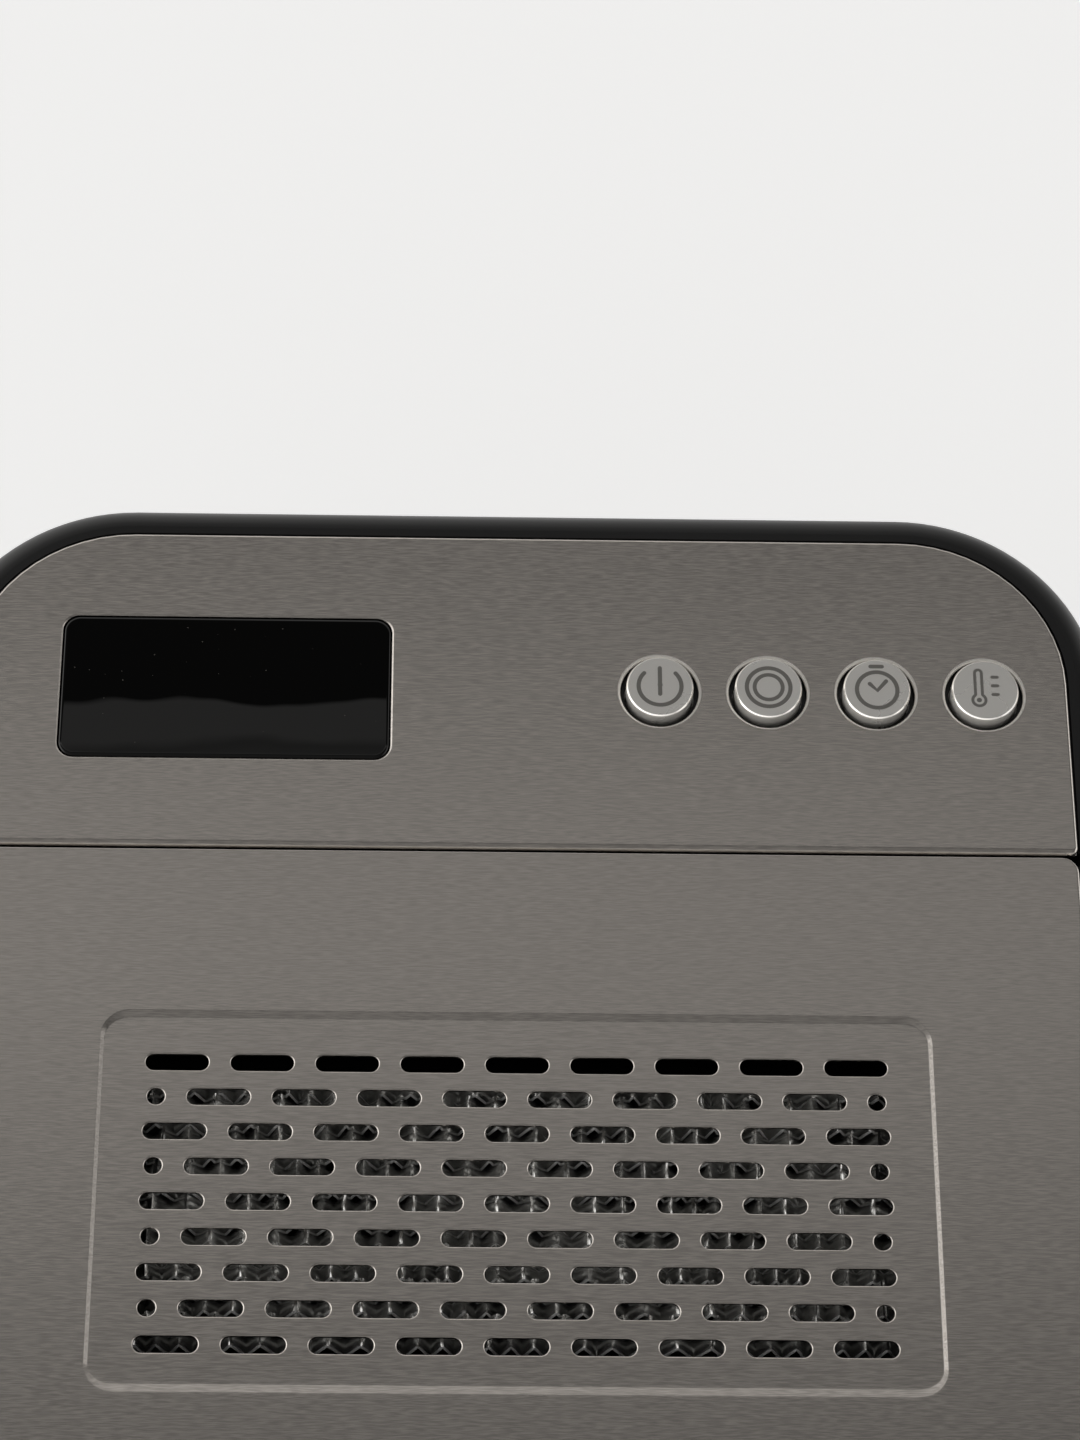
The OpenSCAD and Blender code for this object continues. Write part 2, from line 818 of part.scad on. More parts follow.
// Place of the duct screws off the duct's axis
function duct_screw_x() = duct_out / 2 + duct_flange;

// Mouth frame: clamps the liner, holds the gasket and carries the hinge lugs
module mouth_frame() {
    bay_front = strip_front + bay_front_wall;
    bay_rear = y_rear - wall - bay_rear_wall;
    color(black) difference() {
        union() {
            slab(z_frame, z_part) casing(wall + fit);
            slab(z_ledge, z_frame) intersection() {
                difference() {
                    casing(wall + fit);
                    casing(wall + ledge_w);
                }
                translate([-half_w, liner_back + groove_in + fit]) square([body_w, body_d]);
            }
            for (s = [-1, 1]) prism_x(s * lug_x - lug_w / 2, s * lug_x + lug_w / 2) lug_shape();
        }
        slab(z_frame - cut, z_part + cut) mouth(0);
        slab(z_part - groove_h, z_part + cut) difference() {
            mouth(groove_in + groove_w);
            mouth(groove_in);
        }
        slab(z_frame - cut, z_part + cut)
            outline(2 * (half_w - bay_side_wall), bay_front, bay_rear, bay_r, bay_r);
        for (s = [-1, 1]) translate([s * lug_x - lug_w, hinge_y, hinge_z]) rotate([0, 90, 0])
            cylinder(r = pin_r + run, h = 2 * lug_w);
        for (p = frame_screw_at) translate([p[0], p[1], z_ledge - cut])
            cylinder(r = screw_r + fit, h = frame_t + liner_t + 2 * cut);
        for (p = housing_boss_at) translate([p[0], p[1], z_ledge - cut])
            cylinder(r = screw_r + fit, h = frame_t + liner_t + 2 * cut);
    }
}

// Screws of the mouth frame
module mouth_frame_screws() {
    color(zinc) for (p = frame_screw_at) translate([p[0], p[1], z_part])
        screw(frame_t + liner_t + frame_screw_grip);
}

// Silicone gasket round the chamber's mouth
module lid_gasket() {
    side = 0.1;
    color("#4a4c4f") slab(z_part - groove_h, gasket_top) difference() {
        mouth(groove_in + groove_w - side);
        mouth(groove_in + side);
    }
}

// Deck under a steel panel: a slab to the rim, and a smaller one inside the sheet's rolled edge
module deck(y0, y1, rf, rr, sheet_y0, sheet_y1, sheet_rf, sheet_rr) {
    inset = edge_r + fit;
    slab(z_deck, z_moat) outline(body_w - 2 * rim_in, y0, y1, rf, rr);
    slab(z_moat, z_sheet) outline(panel_w - 2 * inset, sheet_y0 + inset, sheet_y1 - inset,
        max(0, sheet_rf - inset), max(0, sheet_rr - inset));
}

// Control housing: black rim and deck round the steel strip
module control_housing() {
    rim_start = strip_front + rim_end_clear;
    wall_y = strip_front + edge_clear;
    deck_r = body_r - rim_in;
    color(black) difference() {
        union() {
            rotate(180) edge_sweep(body_w, y_front, -rim_start, body_r, 0, false) rim_profile();
            deck(wall_y, y_rear - rim_in, 0, deck_r, strip_front, strip_rear, strip_corner_r, panel_r);
            slab(z_lid, z_deck) translate([wall - half_w, wall_y]) square([body_w - 2 * wall, wall]);
            for (p = housing_boss_at) translate([p[0], p[1], z_part])
                cylinder(r = boss_r, h = z_deck - z_part);
            for (s = corner_signs)
                translate([s[0] * board_hole_x, control_y + s[1] * board_hole_y, z_board + board_t])
                    cylinder(r = board_boss_r, h = z_deck - z_board - board_t);
        }
        slab(z_deck - cut, z_top) translate([-lens_left, control_y])
            rounded(lens_w + 2 * lens_gap, lens_d + 2 * lens_gap, lens_r + lens_gap);
        for (i = [0 : len(button_names) - 1])
            translate([button_first + i * button_pitch, control_y, z_deck - cut]) {
                cylinder(r = button_r + guide_clear, h = deck_t + 2 * cut);
                translate([0, 0, cut + guide_h]) cylinder(r = hole_r + collar_r + fit, h = deck_t);
            }
        for (p = housing_boss_at) translate([p[0], p[1], z_part - cut])
            cylinder(r = screw_r + fit / 4, h = pilot_h + cut);
        for (s = corner_signs)
            translate([s[0] * board_hole_x, control_y + s[1] * board_hole_y, z_board + board_t - cut])
                cylinder(r = screw_r + fit / 4, h = board_pilot_h + cut);
    }
}

// Screws that hold the control housing from below
module control_housing_screws() {
    color(zinc) for (p = housing_boss_at)
        translate([p[0], p[1], z_frame]) mirror([0, 0, 1]) screw(frame_t + housing_screw_grip);
}

// Steel control strip with rolled edges, lens window and button collars
module control_panel() {
    color(steel) union() {
        slab(z_sheet, z_top) difference() {
            outline(panel_w - 2 * edge_r, strip_front + edge_r, strip_rear - edge_r, strip_corner_extra,
                panel_r - edge_r);
            translate([-lens_left, control_y])
                rounded(lens_w + 2 * lens_gap, lens_d + 2 * lens_gap, lens_r + lens_gap);
            for (i = [0 : len(button_names) - 1])
                translate([button_first + i * button_pitch, control_y]) circle(hole_r + collar_r);
        }
        edge_sweep(panel_w, strip_front, strip_rear, strip_corner_r, panel_r) rolled_edge(edge_r);
        for (i = [0 : len(button_names) - 1])
            translate([button_first + i * button_pitch, control_y, 0]) rotate_extrude()
                translate([hole_r, 0]) rolled_edge(collar_r);
    }
}

// Display lens with its mounting flange and softened top edge
module display_lens() {
    color("#060607") translate([-lens_left, control_y, 0]) {
        slab(z_deck - lens_flange_t, z_deck)
            rounded(lens_w + 2 * lens_flange, lens_d + 2 * lens_flange, lens_r + lens_flange);
        slab(z_deck, z_top - lens_edge) rounded(lens_w, lens_d, lens_r);
        slab(z_top - lens_edge, z_top)
            rounded(lens_w - 2 * lens_edge, lens_d - 2 * lens_edge, lens_r - lens_edge);
        edge_sweep(lens_w, -lens_d / 2, lens_d / 2, lens_r, lens_r) intersection() {
            translate([lens_edge, z_top - lens_edge]) circle(lens_edge);
            translate([0, z_top - lens_edge]) square(lens_edge);
        }
    }
}

// Segment display behind the lens
module display_module() {
    color("#2b2d30") slab(z_board + board_t, z_deck - lens_flange_t) translate([-lens_left, control_y])
        square([lens_w - 2 * module_in, lens_d - 2 * module_in], center = true);
}

// Control board hung under the housing's deck
module control_board() {
    color(board_green) slab(z_board, z_board + board_t) translate([0, control_y]) difference() {
        square([board_w, board_d], center = true);
        for (s = corner_signs) translate([s[0] * board_hole_x, s[1] * board_hole_y]) circle(screw_r + fit);
    }
}

// Screws of the control board, driven from below
module control_board_screws() {
    color(zinc) for (s = corner_signs)
        translate([s[0] * board_hole_x, control_y + s[1] * board_hole_y, z_board]) mirror([0, 0, 1])
            screw(board_t + board_screw_grip);
}

// Four push switches under the buttons
module tact_switches() {
    color("#33363a") for (i = [0 : len(button_names) - 1])
        translate([button_first + i * button_pitch, control_y, z_board + board_t]) {
            slab(0, switch_h) square(switch_w, center = true);
            translate([0, 0, switch_h]) cylinder(r = plunger_r, h = plunger_h);
        }
}

// Heater and fan driver board on the base pan
module driver_board() {
    color(board_green) slab(z_body + driver_lift, z_body + driver_lift + board_t)
        translate([driver_x, driver_y]) difference() {
            square([driver_w, driver_d], center = true);
            for (s = corner_signs) translate([s[0] * driver_hole_x, s[1] * driver_hole_y])
                circle(screw_r + fit);
        }
}

// Capacitors, choke and connector of the driver board
module driver_parts() {
    color("#46525c") translate([driver_x, driver_y, z_body + driver_lift + board_t]) {
        for (s = [-1, 1]) translate([s * capacitor_x, capacitor_y, 0])
            cylinder(r = capacitor_r, h = capacitor_h);
        translate([0, -choke_y, 0]) cylinder(r = choke_r, h = choke_h);
        slab(0, block_h) translate([0, -block_y]) square([block_w, block_d], center = true);
    }
}

// Standoff screws of the driver board
module driver_standoffs() {
    color(zinc) for (s = corner_signs)
        translate([driver_x + s[0] * driver_hole_x, driver_y + s[1] * driver_hole_y, z_body]) {
            cylinder(r = standoff_r, h = driver_lift);
            translate([0, 0, driver_lift]) cylinder(r = screw_r, h = board_t);
            translate([0, 0, driver_lift + board_t]) cylinder(r = head_r, h = head_t);
        }
}

// Air duct from the fan to the liner, with a flange at each end
module air_duct() {
    color("#a9acae") translate([0, 0, fan_z]) difference() {
        union() {
            prism_y(liner_back, fan_y) square(duct_out, center = true);
            prism_y(liner_back, liner_back + duct_flange_t)
                square(duct_out + 4 * duct_flange, center = true);
        }
        prism_y(liner_back - cut, fan_y - duct_flange_t) square(duct_in, center = true);
        translate([0, fan_y + cut, 0]) rotate([90, 0, 0])
            cylinder(r = fan_bore, h = duct_flange_t + 2 * cut);
        for (s = corner_signs) {
            translate([s[0] * fan_hole, fan_y + cut, s[1] * fan_hole]) rotate([90, 0, 0])
                cylinder(r = screw_r + fit / 4, h = duct_flange_t + 2 * cut);
            translate([s[0] * duct_screw_x(), liner_back - cut, s[1] * duct_screw_x()]) rotate([-90, 0, 0])
                cylinder(r = screw_r + fit / 4, h = duct_flange_t + 2 * cut);
        }
    }
}

// Screws that hold the duct to the liner, driven from inside the chamber
module duct_screws() {
    color(zinc) for (s = corner_signs)
        translate([s[0] * duct_screw_x(), liner_rear, fan_z + s[1] * duct_screw_x()]) rotate([90, 0, 0])
            screw(liner_t + duct_flange_t + screw_tip);
}

// Insulating end caps of the heater
module heater_end_caps() {
    color("#d8d2c4") for (s = [-1, 1]) translate([s * (duct_in / 2 - fit / 2 - cap_w / 2), 0, fan_z])
        prism_y(heater_y, heater_y + heater_d) square([cap_w, heater_h], center = true);
}

// Heater bars between the end caps
module heater_bars() {
    color(alloy) for (row = [0 : bar_rows - 1])
        translate([0, 0, fan_z + (row - (bar_rows - 1) / 2) * bar_pitch])
            prism_y(heater_y + bar_in, heater_y + heater_d - bar_in) square([bar_l, bar_t], center = true);
}

// Folded fins between the heater bars
module heater_fins() {
    gap = bar_pitch - bar_t - fit;
    folds = 2 * floor((bar_l - 2 * fin_in) / fin_pitch / 2);
    rise = (gap - fin_t * 3) / 2;
    top = [for (i = [0 : folds]) [(i - folds / 2) * fin_pitch, (i % 2 == 0 ? -1 : 1) * rise]];
    color(alloy) for (row = [0 : bar_rows - 2])
        translate([0, 0, fan_z + (row - (bar_rows - 2) / 2) * bar_pitch])
            prism_y(heater_y + fin_in, heater_y + heater_d - fin_in)
                polygon(concat([for (p = top) p + [0, fin_t * 1.5]],
                    [for (i = [folds : -1 : 0]) top[i] - [0, fin_t * 1.5]]));
}

// Thermal cut-out on top of the duct
module thermal_cutout() {
    color("#b7a98c") translate([cutout_x, heater_y + heater_d / 2, fan_z + duct_out / 2]) {
        cylinder(r = cutout_r, h = cutout_h);
        translate([0, 0, cutout_h]) cylinder(r = cutout_top_r, h = cutout_top_h);
    }
}

// Fan frame: square ring, three struts and the motor's seat
module fan_frame() {
    seat_y = fan_y + fan_d - motor_t;
    color("#1a1a1b") translate([0, 0, fan_z]) difference() {
        union() {
            prism_y(fan_y, fan_y + fan_d) difference() {
                square(fan_size, center = true);
                circle(fan_bore);
            }
            prism_y(seat_y, fan_y + fan_d) circle(hub_r);
            for (i = [0 : 2]) prism_y(seat_y, fan_y + fan_d) rotate(90 + i * 120)
                translate([hub_r / 2, -strut_w / 2]) square([fan_bore - hub_r / 2 + cut, strut_w]);
        }
        translate([0, fan_y + fan_d + cut, 0]) rotate([90, 0, 0])
            cylinder(r = shaft_r + run, h = motor_t + 2 * cut);
        for (s = corner_signs) translate([s[0] * fan_hole, fan_y + fan_d + cut, s[1] * fan_hole])
            rotate([90, 0, 0]) cylinder(r = screw_r + 2 * fit, h = fan_d + 2 * cut);
    }
}

// Long screws of the fan
module fan_screws() {
    color(zinc) for (s = corner_signs)
        translate([s[0] * fan_hole, fan_y + fan_d, fan_z + s[1] * fan_hole]) rotate([-90, 0, 0])
            screw(fan_d + duct_flange_t);
}

// Fan rotor: hub, flat blades set at an angle, and shaft
module fan_rotor() {
    front = rotor_in;
    back = fan_d - motor_t - rotor_in / 2;
    color("#242425") translate([0, fan_y, fan_z]) rotate([-90, 0, 0]) union() {
        translate([0, 0, front]) cylinder(r = hub_r, h = back - front);
        translate([0, 0, front]) cylinder(r = shaft_r, h = fan_d - front - rotor_in / 4);
        intersection() {
            translate([0, 0, front + rotor_in / 4])
                cylinder(r = fan_bore - blade_tip_clear, h = back - front - rotor_in / 2);
            for (i = [0 : blades - 1]) rotate(i * 360 / blades)
                translate([hub_r - blade_root, 0, (front + back) / 2]) rotate([blade_pitch, 0, 0])
                    translate([0, -fan_d / 2, -blade_t / 2]) cube([fan_size / 2, fan_d, blade_t]);
        }
    }
}

// Humidity and temperature sensor on the chamber's rear wall
module sensor_board() {
    color("#1f4f7a") translate([sensor_x, 0, floor_z + sensor_h]) {
        prism_y(liner_rear - board_t, liner_rear) square([sensor_w, sensor_l], center = true);
        prism_y(liner_rear - board_t - sensor_chip_t, liner_rear - board_t)
            square(sensor_chip, center = true);
    }
}

// Posts that hold the two roller axles
module axle_posts() {
    color("#2c2d2f") for (s = [-1, 1], y = [post_front, post_mid, post_rear])
        translate([s * axle_x, 0, 0]) prism_y(y, y + post_t) difference() {
            union() {
                translate([-post_w / 2, floor_z]) square([post_w, axle_h]);
                translate([0, axle_z]) circle(post_w / 2 - post_shoulder);
            }
            translate([0, axle_z]) circle(axle_r + run);
            translate([-post_w, axle_z + post_top]) square([2 * post_w, post_w]);
        }
}

// Fixed axles of the rollers
module roller_axles() {
    color(zinc) for (s = [-1, 1]) translate([s * axle_x, post_front, axle_z]) rotate([-90, 0, 0])
        cylinder(r = axle_r, h = post_rear + post_t - post_front);
}

// Roller bearings, two to a roller
module roller_bearings() {
    color("#d0d2d4") for (s = [-1, 1], y = [post_front, post_mid])
        translate([s * axle_x, y + post_t + post_gap, axle_z]) rotate([-90, 0, 0])
            for (z = [bearing_in, roller_l - bearing_l - bearing_in]) translate([0, 0, z]) difference() {
                cylinder(r = bearing_r, h = bearing_l);
                translate([0, 0, -cut]) cylinder(r = axle_r + run / 2, h = bearing_l + 2 * cut);
            }
}

// Spool roller: a tube with a seat for a bearing at each end
module roller(side, y) {
    seat_l = bearing_l + bearing_in + run;
    place = [side * axle_x, y + post_t + post_gap, axle_z];
    color("#4d4f52") translate(place) rotate([-90, 0, 0]) difference() {
        rotate_extrude() {
            square([roller_r - roller_edge, roller_l]);
            translate([0, roller_edge]) square([roller_r, roller_l - 2 * roller_edge]);
            for (z = [roller_edge, roller_l - roller_edge]) translate([roller_r - roller_edge, z])
                circle(roller_edge);
        }
        translate([0, 0, -cut]) cylinder(r = roller_core, h = roller_l + 2 * cut);
        for (z = [-cut, roller_l - seat_l]) translate([0, 0, z])
            cylinder(r = bearing_r + run, h = seat_l + cut);
    }
}
module roller_front_left() { roller(-1, post_front); }
module roller_front_right() { roller(1, post_front); }
module roller_rear_left() { roller(-1, post_mid); }
module roller_rear_right() { roller(1, post_mid); }

// Bushes through the right wall, each with a flared mouth, a tube seat and a filament hole
module outlet_bushes() {
    length = wall + liner_gap + liner_t + bush_inside;
    seat_start = wall + seat_clear;
    seat_end = wall + liner_gap - seat_clear;
    flare = mouth_flare * (seat_start + cut) / seat_start;
    color("#e6e6e4") for (y = outlet_ys) translate([half_w, y, outlet_z]) rotate([0, -90, 0]) difference() {
        union() {
            cylinder(r = bush_r, h = length);
            cylinder(r = bush_flange_r, h = bush_flange_t);
        }
        translate([0, 0, -cut]) cylinder(r1 = outlet_r + flare, r2 = outlet_r, h = seat_start + cut);
        translate([0, 0, seat_start]) cylinder(r = outlet_r, h = seat_end - seat_start);
        translate([0, 0, seat_end - cut]) cylinder(r = filament_r, h = length - seat_end + 2 * cut);
    }
}

// Nuts of the outlet bushes, inside the chamber
module outlet_nuts() {
    color(zinc) for (y = outlet_ys) translate([liner_x, y, outlet_z]) rotate([0, -90, 0]) difference() {
        linear_extrude(nut_t) hexagon(nut_r);
        translate([0, 0, -cut]) cylinder(r = bush_r + run, h = nut_t + 2 * cut);
    }
}

// Lid frame: rim, deck, rear wall, hinge knuckles, grip notch and screw bosses
module lid_frame() {
    rim_stop = lid_rear - rim_end_clear;
    z_grip = z_part + grip_h;
    boss_bottom = z_inner + inner_panel_t;
    color(black) difference() {
        union() {
            edge_sweep(body_w, y_front, rim_stop, body_r, 0, false) rim_profile();
            deck(y_front + rim_in, lid_wall_rear, body_r - rim_in, 0, lid_front, lid_rear, panel_r,
                lid_corner_r);
            slab(z_lid + lid_wall_lift, z_deck) translate([wall - half_w, lid_wall_rear - wall])
                square([body_w - 2 * wall, wall]);
            for (p = lid_boss_at) translate([p[0], p[1], boss_bottom])
                cylinder(r = boss_r, h = z_deck - boss_bottom);
            for (s = [-1, 1], t = [-1, 1]) {
                inner = s * lug_x + t * (lug_w / 2 + lug_side_clear);
                outer = inner + t * knuckle_w;
                prism_x(min(inner, outer), max(inner, outer))
                    translate([hinge_y - knuckle_r, hinge_z - knuckle_r])
                        square([lid_wall_rear - hinge_y + knuckle_r, z_deck - hinge_z + knuckle_r]);
            }
        }
        slab(z_deck - cut, z_top) translate([0, field_y]) rounded(tray_w, tray_d, recess_r + deck_open);
        for (s = [-1, 1]) {
            prism_x(s * lug_x - lug_room_w / 2, s * lug_x + lug_room_w / 2) lug_room();
            translate([s * lug_x - lug_w / 2 - lug_side_clear - knuckle_w - cut, hinge_y, hinge_z])
                rotate([0, 90, 0])
                    cylinder(r = pin_r + run / 2, h = lug_w + 2 * (lug_side_clear + knuckle_w + cut));
        }
        prism_x(-half_w - cut, half_w + cut) polygon([[hinge_y, z_lid - cut], [hinge_y, z_lid],
            [lid_rear, z_lid + lid_heel], [lid_rear, z_lid - cut]]);
        slab(z_part, z_grip + grip_back) translate([-grip_w / 2 - grip_back, y_front - cut])
            square([grip_w + 2 * grip_back, wall + 2 * cut]);
        for (p = lid_boss_at) translate([p[0], p[1], boss_bottom - cut])
            cylinder(r = screw_r + fit / 4, h = lid_pilot_h + cut);
        for (p = tray_screw_at) translate([p[0], p[1], z_deck - cut])
            cylinder(r = screw_r + fit / 4, h = cut + deck_t - tray_skin);
    }
}

// Finger grip: pocket moulding set in the notch of the lid's front wall
module lid_grip() {
    z_grip = z_part + grip_h;
    side = grip_w / 2 + grip_back;
    face_w = 2 * (side - seam_gap);
    z_head = z_grip + grip_back - seam_gap;
    color(black) difference() {
        union() {
            slab(z_lid, z_head) translate([-face_w / 2, y_front]) square([face_w, wall]);
            slab(z_inner, z_head) translate([-face_w / 2, y_front + wall / 2])
                square([face_w, grip_in + grip_back - wall / 2]);
            slab(z_inner + inner_panel_t + fit, z_head + grip_flange)
                translate([-side - grip_flange, y_front + wall])
                    square([2 * (side + grip_flange), grip_flange_t]);
        }
        slab(z_part, z_grip) translate([-grip_w / 2, y_front - cut]) square([grip_w, grip_in + cut]);
    }
}

// Steel lid skin: rolled edges and a recessed, slotted vent field
module lid_skin() {
    in_w = recess_w - 2 * recess_slope;
    in_d = recess_d - 2 * recess_slope;
    color(steel) difference() {
        union() {
            slab(z_sheet, z_top) difference() {
                outline(panel_w - 2 * edge_r, lid_front + edge_r, lid_rear - edge_r, panel_r - edge_r,
                    lid_corner_r - edge_r);
                translate([0, field_y]) rounded(recess_w, recess_d, recess_r);
            }
            edge_sweep(panel_w, lid_front, lid_rear, panel_r, lid_corner_r) rolled_edge(edge_r);
            translate([0, field_y, z_top]) {
                edge_sweep(recess_w, -recess_d / 2, recess_d / 2, recess_r, recess_r)
                    polygon([[0, 0], [recess_slope, -recess_h], [recess_slope, -recess_h - skin_t],
                        [0, -skin_t]]);
                slab(-recess_h - skin_t, -recess_h) difference() {
                    rounded(in_w, in_d, recess_r - recess_slope);
                    translate([0, -recess_back]) vent_pattern();
                }
            }
        }
        for (s = [-1, 1])
            prism_x(s * lug_x - lug_room_w / 2, s * lug_x + lug_room_w / 2) lug_room();
    }
}

// Inner panel that closes the lid from below and presses on the gasket
module lid_inner_panel() {
    grip_clear = grip_in + grip_back + fit;
    color("#2a2b2d") slab(z_inner, z_inner + inner_panel_t) difference() {
        intersection() {
            casing(wall + fit);
            translate([-half_w, y_front]) square([body_w, lid_wall_rear - wall - fit - y_front]);
        }
        translate([-grip_w / 2 - grip_back - fit, y_front])
            square([grip_w + 2 * (grip_back + fit), grip_clear]);
        for (s = [-1, 1])
            translate([s * lug_x - lug_w / 2 - lug_panel_clear, hinge_y - lug_foot_front - lug_foot_clear])
                square([lug_w + 2 * lug_panel_clear, body_d]);
        for (row = [-3 : 3], s = [-1, 1])
            translate([s * panel_slot_x, field_y + row * panel_slot_pitch]) slot(panel_slot_l, air_slot_w);
        for (p = lid_boss_at) translate(p) circle(screw_r + fit);
    }
}

// Tray that holds the mesh filter under the vent
module filter_tray() {
    outer_w = tray_w + 2 * tray_t;
    outer_d = tray_d + 2 * tray_t;
    color(black) translate([0, field_y, 0]) difference() {
        union() {
            slab(filter_z - tray_floor_t, z_deck) difference() {
                rounded(outer_w, outer_d, recess_r + tray_t);
                rounded(tray_w, tray_d, recess_r);
            }
            slab(z_deck - tray_t, z_deck) difference() {
                rounded(outer_w + 2 * tray_flange, outer_d + 2 * tray_flange, recess_r + tray_flange);
                rounded(tray_w, tray_d, recess_r);
            }
            slab(filter_z - tray_floor_t, filter_z) difference() {
                rounded(outer_w, outer_d, recess_r + tray_t);
                square([filter_w - 2 * filter_ledge, filter_d - 2 * filter_ledge], center = true);
            }
            slab(filter_z, filter_z + rib_h) difference() {
                square([filter_w + 2 * (fit + rib_t), filter_d + 2 * (fit + rib_t)], center = true);
                square([filter_w + 2 * fit, filter_d + 2 * fit], center = true);
            }
        }
        for (p = tray_screw_at) translate([p[0], p[1] - field_y, z_deck - tray_t - cut])
            cylinder(r = screw_r + fit, h = tray_t + 2 * cut);
    }
}

// Mesh filter: a channel frame round two corrugated layers
module vent_filter() {
    in_w = filter_w - 2 * filter_border - 2 * fit;
    in_d = filter_d - 2 * filter_border - 2 * fit;
    folds = 2 * floor(in_w / filter_pitch);
    fold_h = filter_h / 2 - 2 * fold_t;
    color(alloy) translate([0, field_y, filter_z]) {
        slab(0, filter_h) difference() {
            square([filter_w, filter_d], center = true);
            square([filter_w - 2 * filter_border, filter_d - 2 * filter_border], center = true);
        }
        for (layer = [0, 1]) {
            low = fit + fold_t + layer * filter_h / 2;
            line = [for (i = [0 : folds])
                [(i - folds / 2) * filter_pitch / 2, low + ((i + layer) % 2) * fold_h]];
            prism_y(-in_d / 2, in_d / 2) polygon(concat([for (p = line) p + [0, fold_t]],
                [for (i = [folds : -1 : 0]) line[i] - [0, fold_t]]));
        }
    }
}

// Screws of the filter tray
module tray_screws() {
    color(zinc) for (p = tray_screw_at) translate([p[0], p[1], z_deck - tray_t]) mirror([0, 0, 1])
        screw(tray_t + deck_t - 2 * tray_skin);
}

// Screws of the lid's inner panel
module lid_screws() {
    color(zinc) for (p = lid_boss_at) translate([p[0], p[1], z_inner]) mirror([0, 0, 1])
        union() {
            translate([0, 0, -inner_panel_t - lid_screw_grip])
                cylinder(r = screw_r, h = inner_panel_t + lid_screw_grip);
            cylinder(r = head_r, h = low_head_t);
        }
}

// Two hinge pins
module hinge_pins() {
    length = lug_w + 2 * (lug_side_clear + knuckle_w);
    color(zinc) for (s = [-1, 1]) translate([s * lug_x - length / 2, hinge_y, hinge_z]) rotate([0, 90, 0])
        cylinder(r = pin_r, h = length);
}

// Push button: cap with a softened edge, retaining flange and stem
module button(i) {
    z_cap = z_top + button_h;
    color("#a5a4a0") translate([button_first + i * button_pitch, control_y, 0]) rotate_extrude() {
        translate([0, z_flange]) square([button_r, z_cap - cap_edge - z_flange]);
        translate([0, z_flange]) square([button_r - cap_edge, z_cap - z_flange]);
        translate([button_r - cap_edge, z_cap - cap_edge]) circle(cap_edge);
        translate([0, z_flange]) square([button_r + flange_out, flange_t]);
        translate([0, z_flange - stem_l]) square([stem_r, stem_l]);
    }
}
module button_power() { button(0); }
module button_spool() { button(1); }
module button_timer() { button(2); }
module button_temperature() { button(3); }

base_pan();
feet();
base_screws();
outer_body();
rear_cover();
rear_cover_screws();
power_socket();
chamber_liner();
mouth_frame();
mouth_frame_screws();
lid_gasket();
control_housing();
control_housing_screws();
control_panel();
display_lens();
display_module();
control_board();
control_board_screws();
tact_switches();
driver_board();
driver_parts();
driver_standoffs();
air_duct();
duct_screws();
heater_end_caps();
heater_bars();
heater_fins();
thermal_cutout();
fan_frame();
fan_screws();
sensor_board();
axle_posts();
roller_axles();
roller_bearings();
outlet_plate();
outlet_bushes();
outlet_nuts();
lid_frame();
lid_grip();
lid_skin();
lid_inner_panel();
filter_tray();
vent_filter();
tray_screws();
lid_screws();
hinge_pins();
fan_rotor();
roller_front_left();
roller_front_right();
roller_rear_left();
roller_rear_right();
button_power();
button_spool();
button_timer();
button_temperature();
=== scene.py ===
"""Dressed view of the filament dryer box: brushed steel top, gloss display, metal buttons and vent.

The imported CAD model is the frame. The steel sheets, the display window, the button caps and the
filter foil are rebuilt here in finer form, and every other node keeps its shape and gets a finish.
"""

import logging
import math
import random
from collections.abc import Callable, Iterable
from dataclasses import dataclass, field
from enum import Enum, IntEnum
from functools import cached_property
from itertools import chain, repeat

import bmesh
import bpy
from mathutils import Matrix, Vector


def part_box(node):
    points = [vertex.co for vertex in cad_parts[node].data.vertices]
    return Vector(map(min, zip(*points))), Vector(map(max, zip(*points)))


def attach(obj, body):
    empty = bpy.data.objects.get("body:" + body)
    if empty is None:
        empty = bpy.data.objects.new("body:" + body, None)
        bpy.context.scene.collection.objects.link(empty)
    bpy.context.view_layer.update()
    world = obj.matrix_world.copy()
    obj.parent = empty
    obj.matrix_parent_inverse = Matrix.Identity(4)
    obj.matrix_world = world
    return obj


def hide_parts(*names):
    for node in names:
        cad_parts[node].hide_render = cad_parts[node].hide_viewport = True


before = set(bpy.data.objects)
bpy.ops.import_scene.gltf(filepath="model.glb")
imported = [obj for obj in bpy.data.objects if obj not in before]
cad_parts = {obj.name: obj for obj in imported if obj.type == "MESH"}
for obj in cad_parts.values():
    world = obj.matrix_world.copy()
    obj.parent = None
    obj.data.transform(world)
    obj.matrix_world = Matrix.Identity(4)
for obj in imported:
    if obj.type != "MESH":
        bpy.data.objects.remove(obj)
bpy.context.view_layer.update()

MM = 0.001
TINY = 0.00001  # smallest radius, and slack in comparisons
FLAT = 0.00012  # level band that holds the shading beside an edge
PLAN_MAP = "plan"
MAP_SCALE = 4  # units of that map per metre
WARMTH = (1.0, 0.985, 0.96)  # red, green and blue of the room light
HOOP_END = 352.5  # last angle of a closed ring, a step short of the whole turn
LOG = logging.getLogger("scene")

Ring = list[Vector]
Verts = list[bmesh.types.BMVert]
Pairs = list[tuple[float, float]]
Colour = tuple[float, float, float]
Sockets = bpy.types.bpy_prop_collection
Feed = bpy.types.NodeSocket | float | tuple


